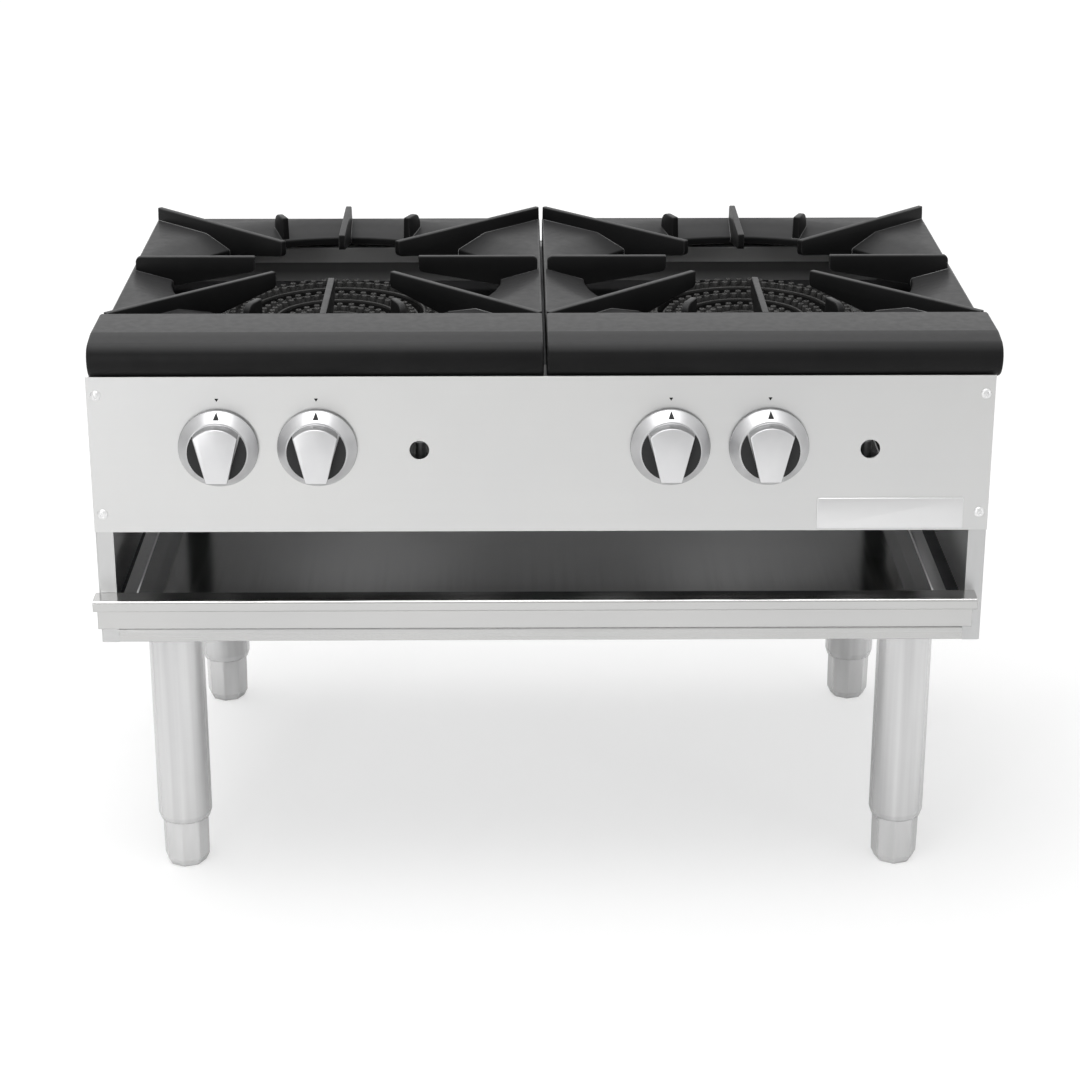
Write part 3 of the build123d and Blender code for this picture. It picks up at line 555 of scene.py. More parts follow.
# Finish of each CAD node, by the start of its name; the first that fits is used.
nodeFinishes = {
    "front_panel": "panelSteel", "side_panel": "bodySteel", "back_panel": "backSteel",
    "tray_front": "lipSteel", "cross_rail": "frontSteel", "tray_pan": "traySteel",
    "tray_guide": "galvanised", "top_rail": "railSteel", "centre_rail": "galvanised",
    "burner_rail": "innerSteel", "leg_gussets": "galvanised", "leg_": "legSteel", "foot_": "footSteel",
    "panel_screws": "screwSteel", "nameplate": "plateSteel", "manifold_pipe": "pipeBlack",
    "manifold_brackets": "galvanised", "mixer_tube": "burnerCasting", "air_shutter": "galvanised",
    "gas_valve": "valveBrass", "valve_stem": "screwSteel", "knob_inserts": "knobBlack",
    "knob_": "knobChrome", "pilot_": "pilotAluminium", "burner_": "burnerCasting", "grate_": "blackCasting",
}


def paintNodes():
    for name, node in nodes.items():
        finish = next(look for start, look in nodeFinishes.items() if name.startswith(start))
        for place in node.material_slots:
            place.material = finishes[finish]


paintNodes()

# Shapes as grids of points.


# Corners (a, b, radius) become one smooth line: an arc tangent to both sides stands at each corner.
def roundCorners(points, closed=True, steps=5):
    line = np.asarray(points, float)
    spots, radii = line[:, :2], line[:, 2:]
    before = spots - np.roll(spots, 1, axis=0)
    after = np.roll(before, -1, axis=0)
    if not closed:
        before[0], after[-1] = after[0], before[-1]
    before = before / np.linalg.norm(before, axis=1, keepdims=True)
    after = after / np.linalg.norm(after, axis=1, keepdims=True)
    cross = before[:, 0] * after[:, 1] - before[:, 1] * after[:, 0]
    turn = np.arctan2(cross, (before * after).sum(axis=1))[:, None]
    start = spots - before * radii * np.tan(abs(turn) / 2)
    inward = np.stack([-before[:, 1], before[:, 0]], axis=1) * np.sign(turn) * radii
    angle = turn * np.linspace(0, 1, steps + 1)
    a = start[:, :1] + inward[:, :1] * (1 - np.cos(angle)) + inward[:, 1:] * np.sin(angle)
    b = start[:, 1:] + inward[:, 1:] * (1 - np.cos(angle)) - inward[:, :1] * np.sin(angle)
    smooth = np.stack([a, b], axis=-1).reshape(-1, 2)
    gap = np.linalg.norm(smooth - np.roll(smooth, -1, axis=0), axis=1)
    if not closed:
        gap[-1] = 1
    return smooth[gap > samePoint]


# Direction from each point of an anticlockwise outline to its inside, long enough to move both sides by one.
def mitre(outline):
    side = np.roll(outline, -1, axis=0) - outline
    side = side / np.linalg.norm(side, axis=1, keepdims=True)
    normal = np.stack([-side[:, 1], side[:, 0]], axis=1)
    earlier = np.roll(normal, 1, axis=0)
    return (normal + earlier) / (1 + (normal * earlier).sum(axis=1, keepdims=True))


# How far a quarter-round edge pulls the outline in, and how far it rises, at each step from the face.
def edgeSteps(edge, steps=3):
    quarter = np.linspace(0, math.pi / 2, steps + 1)
    return edge * (1 - np.sin(quarter)), edge * (1 - np.cos(quarter))


# Slab with rounded edges: rows are copies of the outline (a, b), pulled in near its two faces.
def slabGrid(outline, low, high, edge):
    pull, rise = edgeSteps(edge)
    ring = outline + mitre(outline) * np.concatenate([pull, pull[::-1]])[:, None, None]
    depth = np.concatenate([low + rise, (high - rise)[::-1]])
    return np.dstack([ring, np.repeat(depth[:, None], len(outline), axis=1)])


# Turned shape: rows are the profile's points (radius, height), columns equal steps around the axis.
def latheGrid(profile, segments):
    angle = np.linspace(0, 2 * math.pi, segments, endpoint=False)
    profile = np.asarray(profile, float)
    radius, height = profile[:, :1], profile[:, 1:]
    return np.dstack([radius * np.cos(angle), radius * np.sin(angle), height + 0 * angle])


# Corners of a rectangle with one radius, anticlockwise from the lower right, for roundCorners.
def rectangle(lowA, highA, lowB, highB, radius):
    return [(highA, lowB, radius), (highA, highB, radius), (lowA, highB, radius), (lowA, lowB, radius)]


# Puts a row below the face before a head's first row, so that the head is sunk into its sheet.
def sinkEdge(grid, depth):
    edge = grid[:1].copy()
    edge[..., 2] = -depth
    return np.concatenate([edge, grid])


# Puts a grid made in (a, b, depth) into the frame by naming the frame axis of each, with a sign.
def faceAlong(grid, order, signs=(1, 1, 1)):
    return np.stack([grid[..., order[k]] * signs[k] for k in range(3)], axis=-1)


# Stands a grid modelled along +Z on the front, facing -Y.
def toFront(grid):
    return faceAlong(grid, (0, 2, 1), (1, -1, 1))


# Turns points about the vertical axis through the origin, then moves them.
def turnAndMove(points, degrees, move=(0, 0, 0)):
    c, s = math.cos(math.radians(degrees)), math.sin(math.radians(degrees))
    return points @ np.array([[c, s, 0], [-s, c, 0], [0, 0, 1]]) + np.array(move, float)


# A grid with closed columns becomes a shell of quads, with caps on its first and last rows if asked.
def shell(grid, caps=False, closedRows=False):
    rows, columns = grid.shape[:2]
    r = np.arange(rows if closedRows else rows - 1)[:, None] + np.zeros(columns, int)
    c = np.arange(columns) + np.zeros_like(r)
    nextRow, nextColumn = (r + 1) % rows, (c + 1) % columns
    quads = np.stack([
        r * columns + c, r * columns + nextColumn, nextRow * columns + nextColumn, nextRow * columns + c,
    ], axis=-1).reshape(-1, 4)
    ends = [np.arange(columns), np.arange(columns) + (rows - 1) * columns] if caps else []
    return grid.reshape(-1, 3), quads, ends


# Joins shells into one mesh object at the origin, with its place in its mesh. Edges that bend more than
# the crease, in degrees, are sharp.
def makePiece(name, shells, finish, body, replaced=(), crease=38.0):
    points = np.concatenate([spots for spots, quads, ends in shells]) * mm
    first = np.cumsum([0] + [len(spots) for spots, quads, ends in shells])
    faces = []
    for start, (spots, quads, ends) in zip(first, shells):
        faces += (quads + start).tolist() + [(end + start).tolist() for end in ends]
    mesh = bpy.data.meshes.new(name)
    mesh.from_pydata(points, [], faces)
    work = bmesh.new()
    work.from_mesh(mesh)
    bmesh.ops.remove_doubles(work, verts=work.verts, dist=2e-6)
    bmesh.ops.recalc_face_normals(work, faces=work.faces)
    work.to_mesh(mesh)
    work.free()
    mesh.polygons.foreach_set("use_smooth", np.ones(len(mesh.polygons), bool))
    mesh.set_sharp_from_angle(angle=math.radians(crease))
    mesh.materials.append(finishes[finish])
    piece = bpy.data.objects.new(name, mesh)
    bpy.context.scene.collection.objects.link(piece)
    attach(piece, body)
    if replaced:
        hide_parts(*replaced)


# Top castings.

castingLook = dict(
    endStep=2.5, noseDepth=104.0, noseEdge=3.0, noseSlopeRun=36.0, noseSlopeFall=6.0,
    noseRounds=(1.5, 3.0, 16.5, 22.0, 1.0),  # from the back's top, round the front, to the back's foot
    plateDrop=14.6, plateThickness=8.0, plateCorner=4.0, plateEdge=1.8, underInset=0.4,
    opening=183.0, dishFall=12.0, dishInset=1.0, rimThickness=8.0, rimRound=3.0, rimSteps=5,
    coneShares=(0.33, 0.66, 1.0),  # where points stand between the rim and the dish's edge
    skirt=7.0, skirtChamfer=0.6, skirtDive=3.0,
    ribTip=91.0, tipDepth=17.5, tipRound=6.0, tipTopRound=1.5, ribTop=7.0, ribFoot=9.5,
    ribEdge=1.3, ribEndInset=4.0, ribEndRound=6.0, endRibInset=0.5,
    toeLength=4.0, toeSink=1.0, toeRise=0.4,  # the rib's foot where it meets the rim
    shortInset=2.0, shortLength=31.0, shortRound=12.0, shortAngle=22.5,
)


# Rounded rectangle, anticlockwise, with extra points along its sides where they are long.
def roundedRectangle(halfX, halfY, radius, steps=5, along=14):
    outline = roundCorners(rectangle(-halfX, halfX, -halfY, halfY, radius), steps=steps)
    share = np.linspace(0, 1, along, endpoint=False)[:, None]
    after = np.roll(outline, -1, axis=0)
    long = np.linalg.norm(after - outline, axis=1) > 4 * radius
    runs = [a + (b - a) * share if far else a[None] for a, b, far in zip(outline, after, long)]
    return np.concatenate(runs)


# Plate with its dish: rows go around the rounded square, columns around the section. Along a ray the top
# is flat at the outside and falls in a straight cone from the dish's edge to the rim of the round opening.
def plateShell(centre, halfX, halfY, top, look):
    outline = roundedRectangle(halfX, halfY, look["plateCorner"])
    reach = np.linalg.norm(outline, axis=1, keepdims=True)
    ray, still = outline / reach, np.zeros_like(reach)
    opening, fall, rimRound = look["opening"], look["dishFall"], look["rimRound"]
    thickness, under = look["plateThickness"], look["underInset"]
    dish = min(halfX, halfY) - look["dishInset"]
    slope = fall / (dish - opening)
    tilt = math.atan(slope)
    arc = np.linspace(math.pi, math.pi / 2 + tilt, look["rimSteps"])
    rimEnd = opening + rimRound * (1 - math.sin(tilt))
    arcHeight = top - fall + (rimEnd - opening) * slope - rimRound * math.cos(tilt)
    outer = reach - look["plateEdge"]
    dishEnd = np.minimum(outer, dish)
    cone = rimEnd + (dishEnd - rimEnd) * np.array(look["coneShares"])
    upper = np.hstack([cone, (dishEnd + outer) / 2, outer])
    radius = np.hstack([
        still + opening, still + opening + rimRound * (1 + np.cos(arc)), upper,
        outer - under, dishEnd - under,
    ])
    height = np.hstack([
        still + top - fall - look["rimThickness"], still + arcHeight + rimRound * np.sin(arc),
        top - (dish - upper.clip(max=dish)) * slope,
        still + top - thickness, top - thickness - (dish - dishEnd) * slope,
    ])
    grid = np.dstack([ray[:, :1] * radius, ray[:, 1:] * radius, height])
    return shell((grid + centre).transpose(1, 0, 2), closedRows=True)


# Skirt: a wall around the rounded square, its outer upper edge rounded, its inner one sunk into the plate.
def skirtShell(centre, halfX, halfY, top, seat, look):
    outline = roundedRectangle(halfX, halfY, look["plateCorner"])
    pull, rise = edgeSteps(look["plateEdge"])
    wall, chamfer = look["skirt"], look["skirtChamfer"]
    pulls = np.concatenate([[wall, chamfer, 0.0], pull[::-1], [wall]])
    heights = np.concatenate([[seat, seat, seat + chamfer], (top - rise)[::-1], [top - look["skirtDive"]]])
    ring = outline + mitre(outline) * pulls[:, None, None]
    grid = np.dstack([ring, np.repeat(heights[:, None], len(outline), axis=1)])
    return shell(grid + centre, closedRows=True)


# Rib along +X: the side view (distance, height) in rows across it; its sides widen evenly downwards.
def ribGrid(sideView, top, look):
    pull, rise = edgeSteps(look["ribEdge"])
    pulls, rises = np.concatenate([pull, pull[::-1]]), np.concatenate([rise, rise[::-1]])
    side = np.repeat([-1, 1], len(pull))[:, None]
    ring = sideView + mitre(sideView) * pulls[:, None, None]
    deep = look["plateDrop"] + look["dishFall"] + look["rimThickness"]
    draft = (look["ribFoot"] - look["ribTop"]) / 2 / deep
    half = look["ribTop"] / 2 + draft * (top - ring[..., 1])
    return np.stack([ring[..., 0], side * (half - rises[:, None]), ring[..., 1]], axis=-1)


# Side view of a main rib from its tip over the burner to its root on the plate.
def mainRibView(reach, endRound, top, look):
    plateTop, tip = top - look["plateDrop"], look["ribTip"]
    toe, toeFoot = look["opening"], plateTop - look["dishFall"] - look["rimThickness"] + look["toeSink"]
    return roundCorners([
        (reach, top, endRound), (tip, top, look["tipTopRound"]),
        (tip, top - look["tipDepth"], look["tipRound"]), (toe, toeFoot, 0),
        (toe + look["toeLength"], toeFoot + look["toeRise"], 0),
        (reach, plateTop - look["plateThickness"] / 2, 0),
    ])


def shortRibView(top, look):
    start = look["opening"] + look["shortInset"]
    end = start + look["shortLength"]
    plateTop = top - look["plateDrop"]
    return roundCorners([
        (end, top, look["shortRound"]), (start, top, look["tipTopRound"]),
        (start, plateTop - look["dishFall"] - look["rimThickness"] / 2, 0),
        (end, plateTop - look["plateThickness"] / 2, 0),
    ])


# Nose: its section in (y, z) in rows along X, with rounded ends. The top is flat, then slopes a little to
# the front, and both front corners are round.
def noseShell(low, high, look):
    back = low[1] + look["noseDepth"]
    spots = [
        (back, high[2]), (low[1] + look["noseSlopeRun"], high[2]), (low[1], high[2] - look["noseSlopeFall"]),
        (low[1], low[2]), (back, low[2]),
    ]
    section = roundCorners(np.column_stack([spots, look["noseRounds"]]), steps=10)
    grid = slabGrid(section, low[0], high[0], look["noseEdge"])
    return shell(faceAlong(grid, (2, 0, 1)), caps=True)


# Casting: nose, plate and skirt, then the ribs: four to the sides, four to the corners, four short ones.
# The plate stops a step short of the nose's outer end.
def makeCastingPiece(side, look):
    name = "grate_" + side
    low, high = nodeBox(name)
    plateLow, plateHigh = low + (0, look["noseDepth"], 0), high.copy()
    if side == "left":
        plateLow[0] += look["endStep"]
    else:
        plateHigh[0] -= look["endStep"]
    centre = footprint(plateLow, plateHigh)
    halfX, halfY = (plateHigh - plateLow)[:2] / 2
    top, plateTop = high[2], high[2] - look["plateDrop"]
    cornerReach = min(halfX, halfY) * math.sqrt(2) - look["ribEndInset"]
    shells = [
        noseShell(low, high, look),
        plateShell(centre, halfX, halfY, plateTop, look),
        skirtShell(centre, halfX, halfY, plateTop, low[2], look),
    ]
    sideView = mainRibView(halfX - look["ribEndInset"], look["ribEndRound"], top, look)
    endView = mainRibView(halfY - look["endRibInset"], 0, top, look)
    cornerView = mainRibView(cornerReach, 0, top, look)
    shortView = shortRibView(top, look)
    places = [(sideView, 0), (sideView, 180), (endView, 90), (endView, 270)]
    places += [(cornerView, angle) for angle in (45, 135, 225, 315)]
    places += [(shortView, end + turn * look["shortAngle"]) for end in (90, 270) for turn in (-1, 1)]
    for view, angle in places:
        shells.append(shell(turnAndMove(ribGrid(view, top, look), angle, centre), caps=True))
    makePiece("casting_" + side, shells, "blackCasting", name, [name], crease=30.0)


for side in sides:
    makeCastingPiece(side, castingLook)
print("castings ready")

# Burners.

burnerLook = dict(
    rings=(110.0, 79.0, 48.0), ringWidth=25.0, ringStep=5.5, ringRound=0.6, ringSides=96,
    rimWidth=2.4, rimRise=1.6, rimSink=2.0, rimProud=0.1,
    rowGap=11.0, studPitch=12.0, rowShift=0.25,  # of a pitch, each row its own way
    studHeight=6.5, studRadius=3.3, studFlare=0.3, studSink=0.5, studRound=0.7,
    studHole=1.4, studHoleDepth=3.0, studSides=10,
    armWidth=16.0, armFoot=0.2, armHeight=10.0, armInset=1.0,
    lugWidth=26.0, lugFoot=0.1, lugHeight=6.0, edge=1.2,
)


# Ring: a block section with rounded corners, carried around the burner's axis.
def ringShell(inner, outer, low, high, look):
    section = roundCorners(rectangle(inner, outer, low, high, look["ringRound"]), steps=3)
    return shell(latheGrid(section, look["ringSides"]), closedRows=True)


# Studs of one ring: a turned stud with a drilled hole, copied by array sums to its places in two rows.
def studShell(ring, bed, look):
    top = bed + look["studHeight"]
    radius, hole, holeFoot = look["studRadius"], look["studHole"], top - look["studHoleDepth"]
    profile = roundCorners([
        (radius + look["studFlare"], bed - look["studSink"], 0), (radius, top, look["studRound"]),
        (hole, top, 0), (hole, holeFoot, 0), (poleRadius, holeFoot, 0),
    ], closed=False, steps=2)
    count = round(2 * math.pi * ring / look["studPitch"])
    row = np.array([[-1.0], [1.0]])
    angle = (np.arange(count) + row * look["rowShift"]) * 2 * math.pi / count
    distance = ring + row * look["rowGap"] / 2
    spots = np.stack([distance * np.cos(angle), distance * np.sin(angle), 0 * angle], axis=-1).reshape(-1, 3)
    points, quads, ends = shell(latheGrid(profile, look["studSides"]))
    allPoints = (points[None] + spots[:, None]).reshape(-1, 3)
    allQuads = (quads[None] + np.arange(len(spots))[:, None, None] * len(points)).reshape(-1, 4)
    return allPoints, allQuads, []


# Arm or lug: a bar with rounded edges along a turned direction, from one distance to another.
def barShell(start, end, kind, turn, foot, look):
    halfLength, halfWidth, edge = (end - start) / 2, look[kind + "Width"] / 2, look["edge"]
    outline = roundCorners(rectangle(-halfLength, halfLength, -halfWidth, halfWidth, edge), steps=3)
    grid = slabGrid(outline, foot + look[kind + "Foot"], foot + look[kind + "Height"], edge)
    grid[..., 0] += (start + end) / 2
    return shell(turnAndMove(grid, turn), caps=True)


# Burner: a bed of rings that step down to the middle with arms and lugs, and on it studs and thin rims.
def makeBurner(side, look):
    name = "burner_" + side
    low, high = nodeBox(name)
    halfX, halfY = (high - low)[:2] / 2
    half, rim = look["ringWidth"] / 2, look["rimWidth"]
    bed, studs = [], []
    for place, ring in enumerate(look["rings"]):
        top = high[2] - look["studHeight"] - place * look["ringStep"]
        inner, outer = ring - half, ring + half
        bed.append(ringShell(inner, outer, low[2], top, look))
        studs.append(studShell(ring, top, look))
        for start in (inner - look["rimProud"], outer - rim + look["rimProud"]):
            studs.append(ringShell(start, start + rim, top - look["rimSink"], top + look["rimRise"], look))
    bars = [(look["rings"][-1] - half, halfX - look["armInset"], "arm", turn) for turn in (0, 90, 180, 270)]
    bars += [(look["rings"][0], halfY, "lug", turn) for turn in (90, 270)]
    bed += [barShell(start, end, kind, turn, low[2], look) for start, end, kind, turn in bars]
    # The bed takes the finish darkened as painted shade; the studs and rims take the plain one.
    for kind, shells, finish, replaced in (
        ("jetBurner_", bed, "burnerBed", [name]), ("jetStuds_", studs, "burnerCasting", []),
    ):
        placed = [(points + footprint(low, high), quads, ends) for points, quads, ends in shells]
        makePiece(kind + side, placed, finish, "body", replaced, crease=40.0)


for side in sides:
    makeBurner(side, burnerLook)
print("burners ready")

# Knobs and marks.

knobLook = dict(
    sides=96, gap=1.0, skirtRadius=40.25, skirtHeight=4.0, skirtWall=3.0, footRound=0.8,
    coneRadius=31.0, coneHeight=15.0, coneWall=2.0, coneRound=1.2,
    hubRadius=8.0, hubFoot=3.0, webRadius=20.0, webFoot=6.0,
    drumRadius=29.6, drumRound=0.2, pocketFloor=18.0, pocketRound=0.5, height=33.5,
    hoopSink=0.3, hoopProud=0.35, hoopFoot=0.2, hoopDrop=0.9, hoopRound=0.3,
    gripTop=22.6, gripShoulder=20.0, gripFoot=10.8, gripReach=28.3, gripRound=1.5,
    gripSteps=25, gripEdge=1.4, gripSink=1.0, markAt=36.4,
    mark=dict(width=6.2, height=6.4, thickness=0.25, sink=0.6, round=0.3, edge=0.05, up=1),
)
panelMarkLook = dict(
    rise=50.0, width=4.2, height=3.4, thickness=0.2, sink=0.3, round=0.3, edge=0.05, up=-1,
)


# Grip outline, anticlockwise: a flat arc from shoulder to shoulder at the top, straight sides that draw
# in to a flat foot.
def gripOutline(look):
    top, shoulder = look["gripTop"], look["gripShoulder"]
    foot, reach, bend = look["gripFoot"], look["gripReach"], look["gripRound"]
    crown = look["drumRadius"] - shoulder
    radius = (top ** 2 + crown ** 2) / (2 * crown)
    spread = math.asin(top / radius)
    angle = math.pi / 2 + np.linspace(-spread, spread, look["gripSteps"])
    arc = radius * np.stack([np.cos(angle), np.sin(angle)], axis=1) + (0, look["drumRadius"] - radius)
    lower = roundCorners([
        (-top, shoulder, 0), (-foot, -reach, bend), (foot, -reach, bend), (top, shoulder, 0),
    ], closed=False, steps=4)
    return np.concatenate([arc, lower[1:-1]])


# Mark: a thin triangle with rounded corners, sunk a little into its face, that points up or down.
def markGrid(look):
    halfWidth, halfHeight, up = look["width"] / 2, look["height"] / 2, look["up"]
    points = np.array([(-halfWidth, -halfHeight), (halfWidth, -halfHeight), (0, halfHeight)]) * up
    outline = roundCorners(np.column_stack([points, np.full(3, look["round"])]), steps=2)
    return slabGrid(outline, -look["sink"], look["thickness"], look["edge"])


# Knob: a turned ring of hub, skirt, cone and pocket, a thin hoop around its skirt in a darker finish
# that paints shade there, a grip across the pocket, and a mark that lies on the cone and points to the
# outside.
def makeKnob(station, look):
    name = "knob_" + station
    low, high = nodeBox(name)
    base = look["gap"]
    centre = np.array([(low[0] + high[0]) / 2, high[1] + base, (low[2] + high[2]) / 2])
    rim, coneTop, floor = base + look["skirtHeight"], base + look["coneHeight"], look["pocketFloor"]
    skirt, cone, drum = look["skirtRadius"], look["coneRadius"], look["drumRadius"]
    ring = roundCorners([
        (poleRadius, coneTop - look["coneWall"], 0), (look["hubRadius"], coneTop - look["coneWall"], 0),
        (look["hubRadius"], base + look["hubFoot"], 0), (look["webRadius"], base + look["webFoot"], 0),
        (skirt - look["skirtWall"], base, 0), (skirt, base, look["footRound"]),
        (skirt, rim, look["coneRound"]), (cone, coneTop, look["coneRound"]),
        (drum, coneTop, look["drumRound"]), (drum, floor, look["pocketRound"]), (poleRadius, floor, 0),
    ], closed=False, steps=4)
    inner, outer = skirt - look["hoopSink"], skirt + look["hoopProud"]
    foot, top = base + look["hoopFoot"], rim - look["hoopDrop"]
    hoop = roundCorners([
        (inner, foot, 0), (outer, foot, look["hoopRound"]), (outer, top, look["hoopRound"]), (inner, top, 0),
    ], steps=3)
    grip = slabGrid(gripOutline(look), floor - look["gripSink"], look["height"], look["gripEdge"])
    mark = markGrid(look["mark"])
    mark[..., 1] += look["markAt"]
    mark[..., 2] += coneTop + (mark[..., 1] - cone) * (rim - coneTop) / (skirt - cone)
    for kind, grid, closing, finish, slot in (
        ("knobRing_", latheGrid(ring, look["sides"]), {}, "knobChrome", "knob_metal"),
        ("knobRim_", latheGrid(hoop, look["sides"]), {"closedRows": True}, "rimSteel", "knob_metal"),
        ("knobGrip_", grip, {"caps": True}, "gripSteel", "knob_metal"),
        ("knobMark_", mark, {"caps": True}, "markBlack", "knob_black"),
    ):
        replaced = [name] if kind == "knobRing_" else []
        shells = [shell(toFront(grid) + centre, **closing)]
        makePiece(kind + station, shells, finish, name, replaced, crease=50.0)


for station in stations:
    makeKnob(station, knobLook)


# Fixed marks on the panel, one above each knob, that point down at it.
def makePanelMarks(look):
    front = nodeBox("front_panel")[0][1]
    shells = []
    for station in stations:
        low, high = nodeBox("knob_" + station)
        x, z = (low[0] + high[0]) / 2, (low[2] + high[2]) / 2 + look["rise"]
        shells.append(shell(toFront(markGrid(look)) + (x, front, z), caps=True))
    makePiece("panelMarks", shells, "markBlack", "body")


makePanelMarks(panelMarkLook)
print("knobs ready")

# Screws and rivets.

screwLook = dict(
    radius=5.4, rise=2.4, crown=2.4, columns=72,
    slotHalf=0.62, slotReach=2.7, slotDepth=1.0, slotSoft=0.35,
    slotField=(0.02, 3.4, 20), outerField=(3.7, 7),  # radii and number of the grid's rows
    sink=0.4, turns=(17, 31, 23),  # degrees: the first screw's, and the step along X and along Z
)


# Screw head: a dome over (radius, angle), pressed down where the point lies in a cross-shaped recess.
def screwGrid(look):
    outerStart, outerRows = look["outerField"]
    outer = np.linspace(outerStart, look["radius"], outerRows)
    radius = np.concatenate([np.linspace(*look["slotField"]), outer])[:, None]
    angle = np.linspace(0, 2 * math.pi, look["columns"], endpoint=False)
    a, b = radius * np.cos(angle), radius * np.sin(angle)
    dome = look["rise"] * np.sqrt(np.clip(1 - (radius / look["radius"]) ** look["crown"], 0, 1)) + 0 * angle
    narrow = np.minimum(abs(a), abs(b))
    inside = np.clip((look["slotHalf"] + look["slotSoft"] - narrow) / look["slotSoft"], 0, 1)
    ends = np.clip((look["slotReach"] - np.maximum(abs(a), abs(b))) / look["slotSoft"], 0, 1)
    return np.dstack([a, b, dome - look["slotDepth"] * inside * ends])[::-1]


def makeScrews(look):
    low, high = nodeBox("panel_screws")
    front = nodeBox("front_panel")[0][1]
    inset = look["radius"]
    head = sinkEdge(screwGrid(look), look["sink"])
    first, perX, perZ = look["turns"]
    shells = []
    for stepX, x in enumerate((low[0] + inset, high[0] - inset)):
        for stepZ, z in enumerate((low[2] + inset, high[2] - inset)):
            turned = turnAndMove(head, first + perX * stepX + perZ * stepZ)
            shells.append(shell(toFront(turned) + (x, front, z), caps=True))
    makePiece("screwHeads", shells, "screwSteel", "body", ["panel_screws"], crease=40.0)


makeScrews(screwLook)

fastenerLook = dict(
    backScale=0.78, backEdge=12.0, backX=(-300.0, -150.0, 0.0, 150.0, 300.0), backZ=(300.0, 425.0),
    rivetRadius=3.4, rivetRise=1.3, rivetPole=0.02, rivetRows=7, rivetSides=32,
    rivetY=(-205.0, -70.0, 65.0, 200.0), lowRow=15.0, highRow=14.0, sink=0.3,
)


# Rivet head: a quarter ellipse (radius, height) turned around its axis, up to a small angle from its pole.
def rivetGrid(look):
    turn = np.linspace(0, math.pi / 2 - look["rivetPole"], look["rivetRows"])
    profile = np.stack([look["rivetRadius"] * np.cos(turn), look["rivetRise"] * np.sin(turn)], axis=1)
    return sinkEdge(latheGrid(profile, look["rivetSides"]), look["sink"])


# Screws around the back panel and rivets along the foot and top of both sides.
def makeFasteners(look):
    low, high = nodeBox("back_panel")
    head = faceAlong(sinkEdge(screwGrid(screwLook) * look["backScale"], look["sink"]), (0, 2, 1), (-1, 1, 1))
    edge = look["backEdge"]
    spots = [(x, z) for x in look["backX"] for z in (low[2] + edge, high[2] - edge)]
    spots += [(x, z) for x in (low[0] + edge, high[0] - edge) for z in (*look["backZ"], high[2] - edge)]
    shells = [shell(head + (x, high[1], z), caps=True) for x, z in spots]
    makePiece("backScrews", shells, "screwSteel", "body", crease=40.0)
    rivet = rivetGrid(look)
    for side, turn in (("left", -1), ("right", 1)):
        low, high = nodeBox("side_panel_" + side)
        face = low[0] if turn < 0 else high[0]
        standing = faceAlong(rivet, (2, 0, 1), (turn, turn, 1))
        rows = (low[2] + look["lowRow"], high[2] - look["highRow"])
        shells = [shell(standing + (face, y, z), caps=True) for y in look["rivetY"] for z in rows]
        makePiece("sideRivets_" + side, shells, "screwSteel", "body", crease=40.0)


makeFasteners(fastenerLook)
print("screws and rivets ready")

# Drip tray's hems.

hemLook = dict(fold=14.0, radius=0.9, sides=12, endGap=3.0, sink=0.3)


# Bead along the folded edge of each side wall of the pan: a small circle carried along Y, in a pale
# finish that is a painted highlight.
def makeHems(look):
    low, high = nodeBox("tray_pan")
    angle = np.linspace(0, 2 * math.pi, look["sides"], endpoint=False)
    run = np.array([[low[1] + look["endGap"]], [high[1] - look["endGap"]]])
    level = 0 * run
    circleX, circleZ = look["radius"] * np.cos(angle), look["radius"] * np.sin(angle)
    grid = np.dstack([circleX + level, run + 0 * angle, circleZ + level])
    walls = (low[0] + look["fold"], high[0] - look["fold"])
    shells = [shell(grid + (x, 0, high[2] - look["sink"]), caps=True) for x in walls]
    makePiece("trayHems", shells, "hemSteel", "drip_tray")


makeHems(hemLook)

# Legs and feet.

legLook = dict(
    radius=29.0, throat=25.3, throatDepth=30.0, mouth=1.2, segments=96,
    lipInset=2.0, lipRise=0.6, lipRound=2.2, shoulder=7.0, shoulderRound=5.0,
    topGap=0.2, topRound=0.3, stud=9.0, studRound=0.5,
)
footLook = dict(
    radius=25.0, top=85.0, turn=-5.0, columns=96,
    rows=[0.0, 0.25, 0.9, *np.linspace(2.5, 8.7, 5), 9.0, 9.3, *np.linspace(12, 50, 14)],  # heights
    flats=[(0.0, 18.8), (9.0, 22.9), (36.0, 23.3), (50.0, 23.5)],  # distance of the flats at each height
    edge=[(0.0, 0.8), (0.25, 0.35), (0.9, 0.05), (2.5, 0.0)],  # pull of the lower edge at each height
    topEdge=0.8,
)


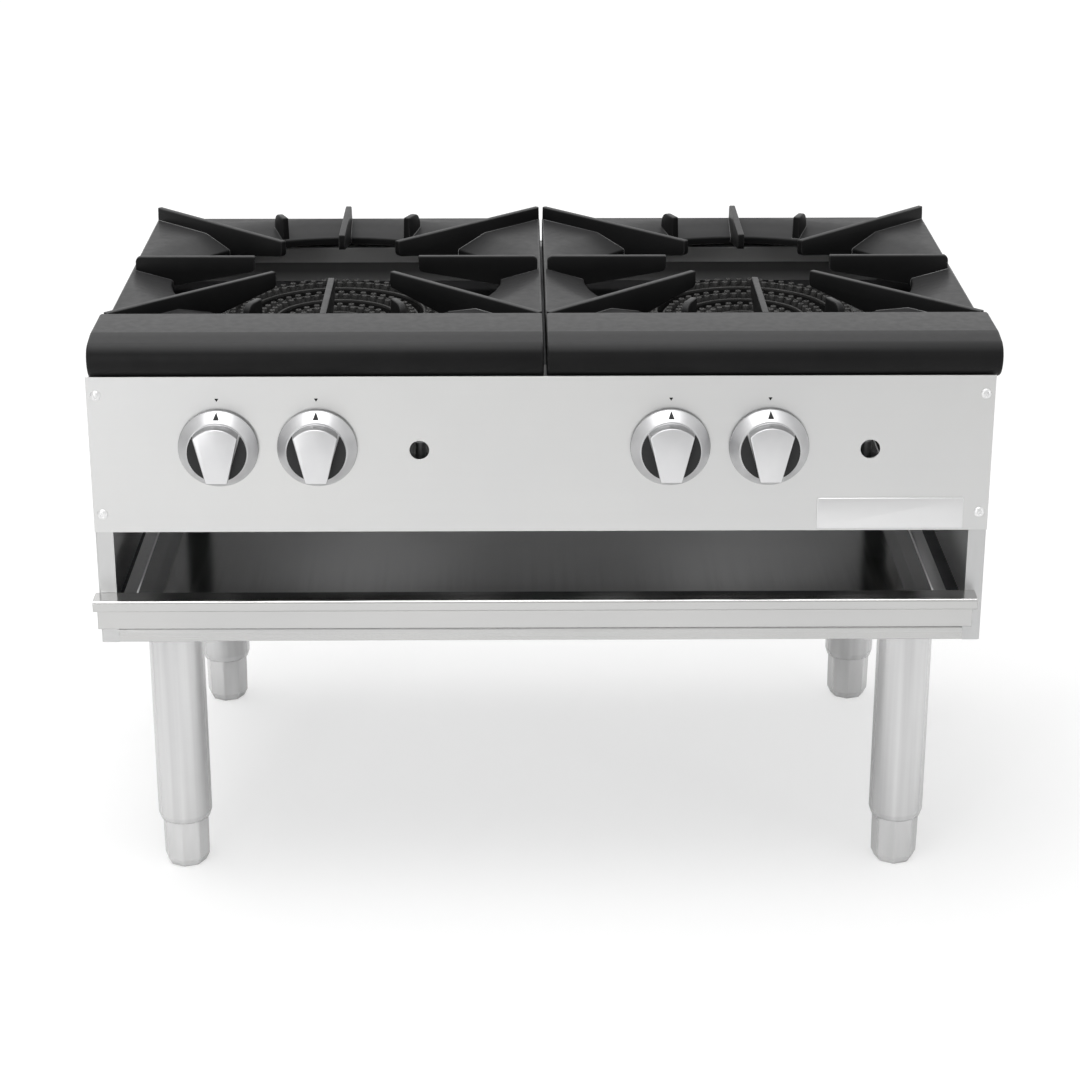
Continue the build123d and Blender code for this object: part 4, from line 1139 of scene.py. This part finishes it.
# Leg: a turned tube from its throat over a rounded lip and shoulder up to its stud.
def makeLeg(corner, look):
    name = "leg_" + corner
    low, high = nodeBox(name)
    top = nodeBox("side_panel_left")[0][2] - look["topGap"]
    radius, throat, stud = look["radius"], look["throat"], look["stud"]
    profile = roundCorners([
        (throat, low[2] + look["throatDepth"], 0), (throat, low[2], look["mouth"]),
        (radius - look["lipInset"], low[2] + look["lipRise"], look["lipRound"]),
        (radius, low[2] + look["shoulder"], look["shoulderRound"]), (radius, top, look["topRound"]),
        (stud, top, 0), (stud, high[2], look["studRound"]), (poleRadius, high[2], 0),
    ], closed=False, steps=5)
    shells = [shell(latheGrid(profile, look["segments"]) + footprint(low, high))]
    makePiece("tube_" + corner, shells, "legSteel", "body", [name], crease=40.0)


# Foot: a cylinder cut by eight flats that lean in sharply at its lower end; its radius at an angle is
# the smaller of the cylinder's and the distance to the flat there, less the pull of its edges.
def makeFoot(corner, look):
    name = "foot_" + corner
    shoulder = look["top"] - look["topEdge"]
    heights = np.array([*look["rows"], shoulder, look["top"]])[:, None]
    pull = np.interp(heights, *zip(*look["edge"], (shoulder, 0.0), (look["top"], look["topEdge"])))
    angle = np.linspace(0, 2 * math.pi, look["columns"], endpoint=False)
    away = (angle - math.radians(look["turn"])) % (math.pi / 4) - math.pi / 8
    apothem = np.interp(heights, *zip(*look["flats"]))
    radius = np.minimum(apothem / np.cos(away), look["radius"]) - pull
    grid = np.dstack([radius * np.cos(angle), radius * np.sin(angle), heights + 0 * angle])
    shells = [shell(grid + footprint(*nodeBox(name)), caps=True)]
    makePiece("footEnd_" + corner, shells, "footSteel", name, [name], crease=22.0)


for corner in corners:
    makeLeg(corner, legLook)
    makeFoot(corner, footLook)
print("legs ready")

# Nameplate.

plateLook = dict(corner=1.5, edge=0.8, sink=0.3)


def makeNameplate(look):
    low, high = nodeBox("nameplate")
    outline = roundCorners(rectangle(low[0], high[0], low[2], high[2], look["corner"]), steps=4)
    grid = slabGrid(outline, -high[1] - look["sink"], -low[1], look["edge"])
    shells = [shell(toFront(grid), caps=True)]
    makePiece("barePlate", shells, "plateSteel", "body", ["nameplate"])


makeNameplate(plateLook)

# The end.

print("done")
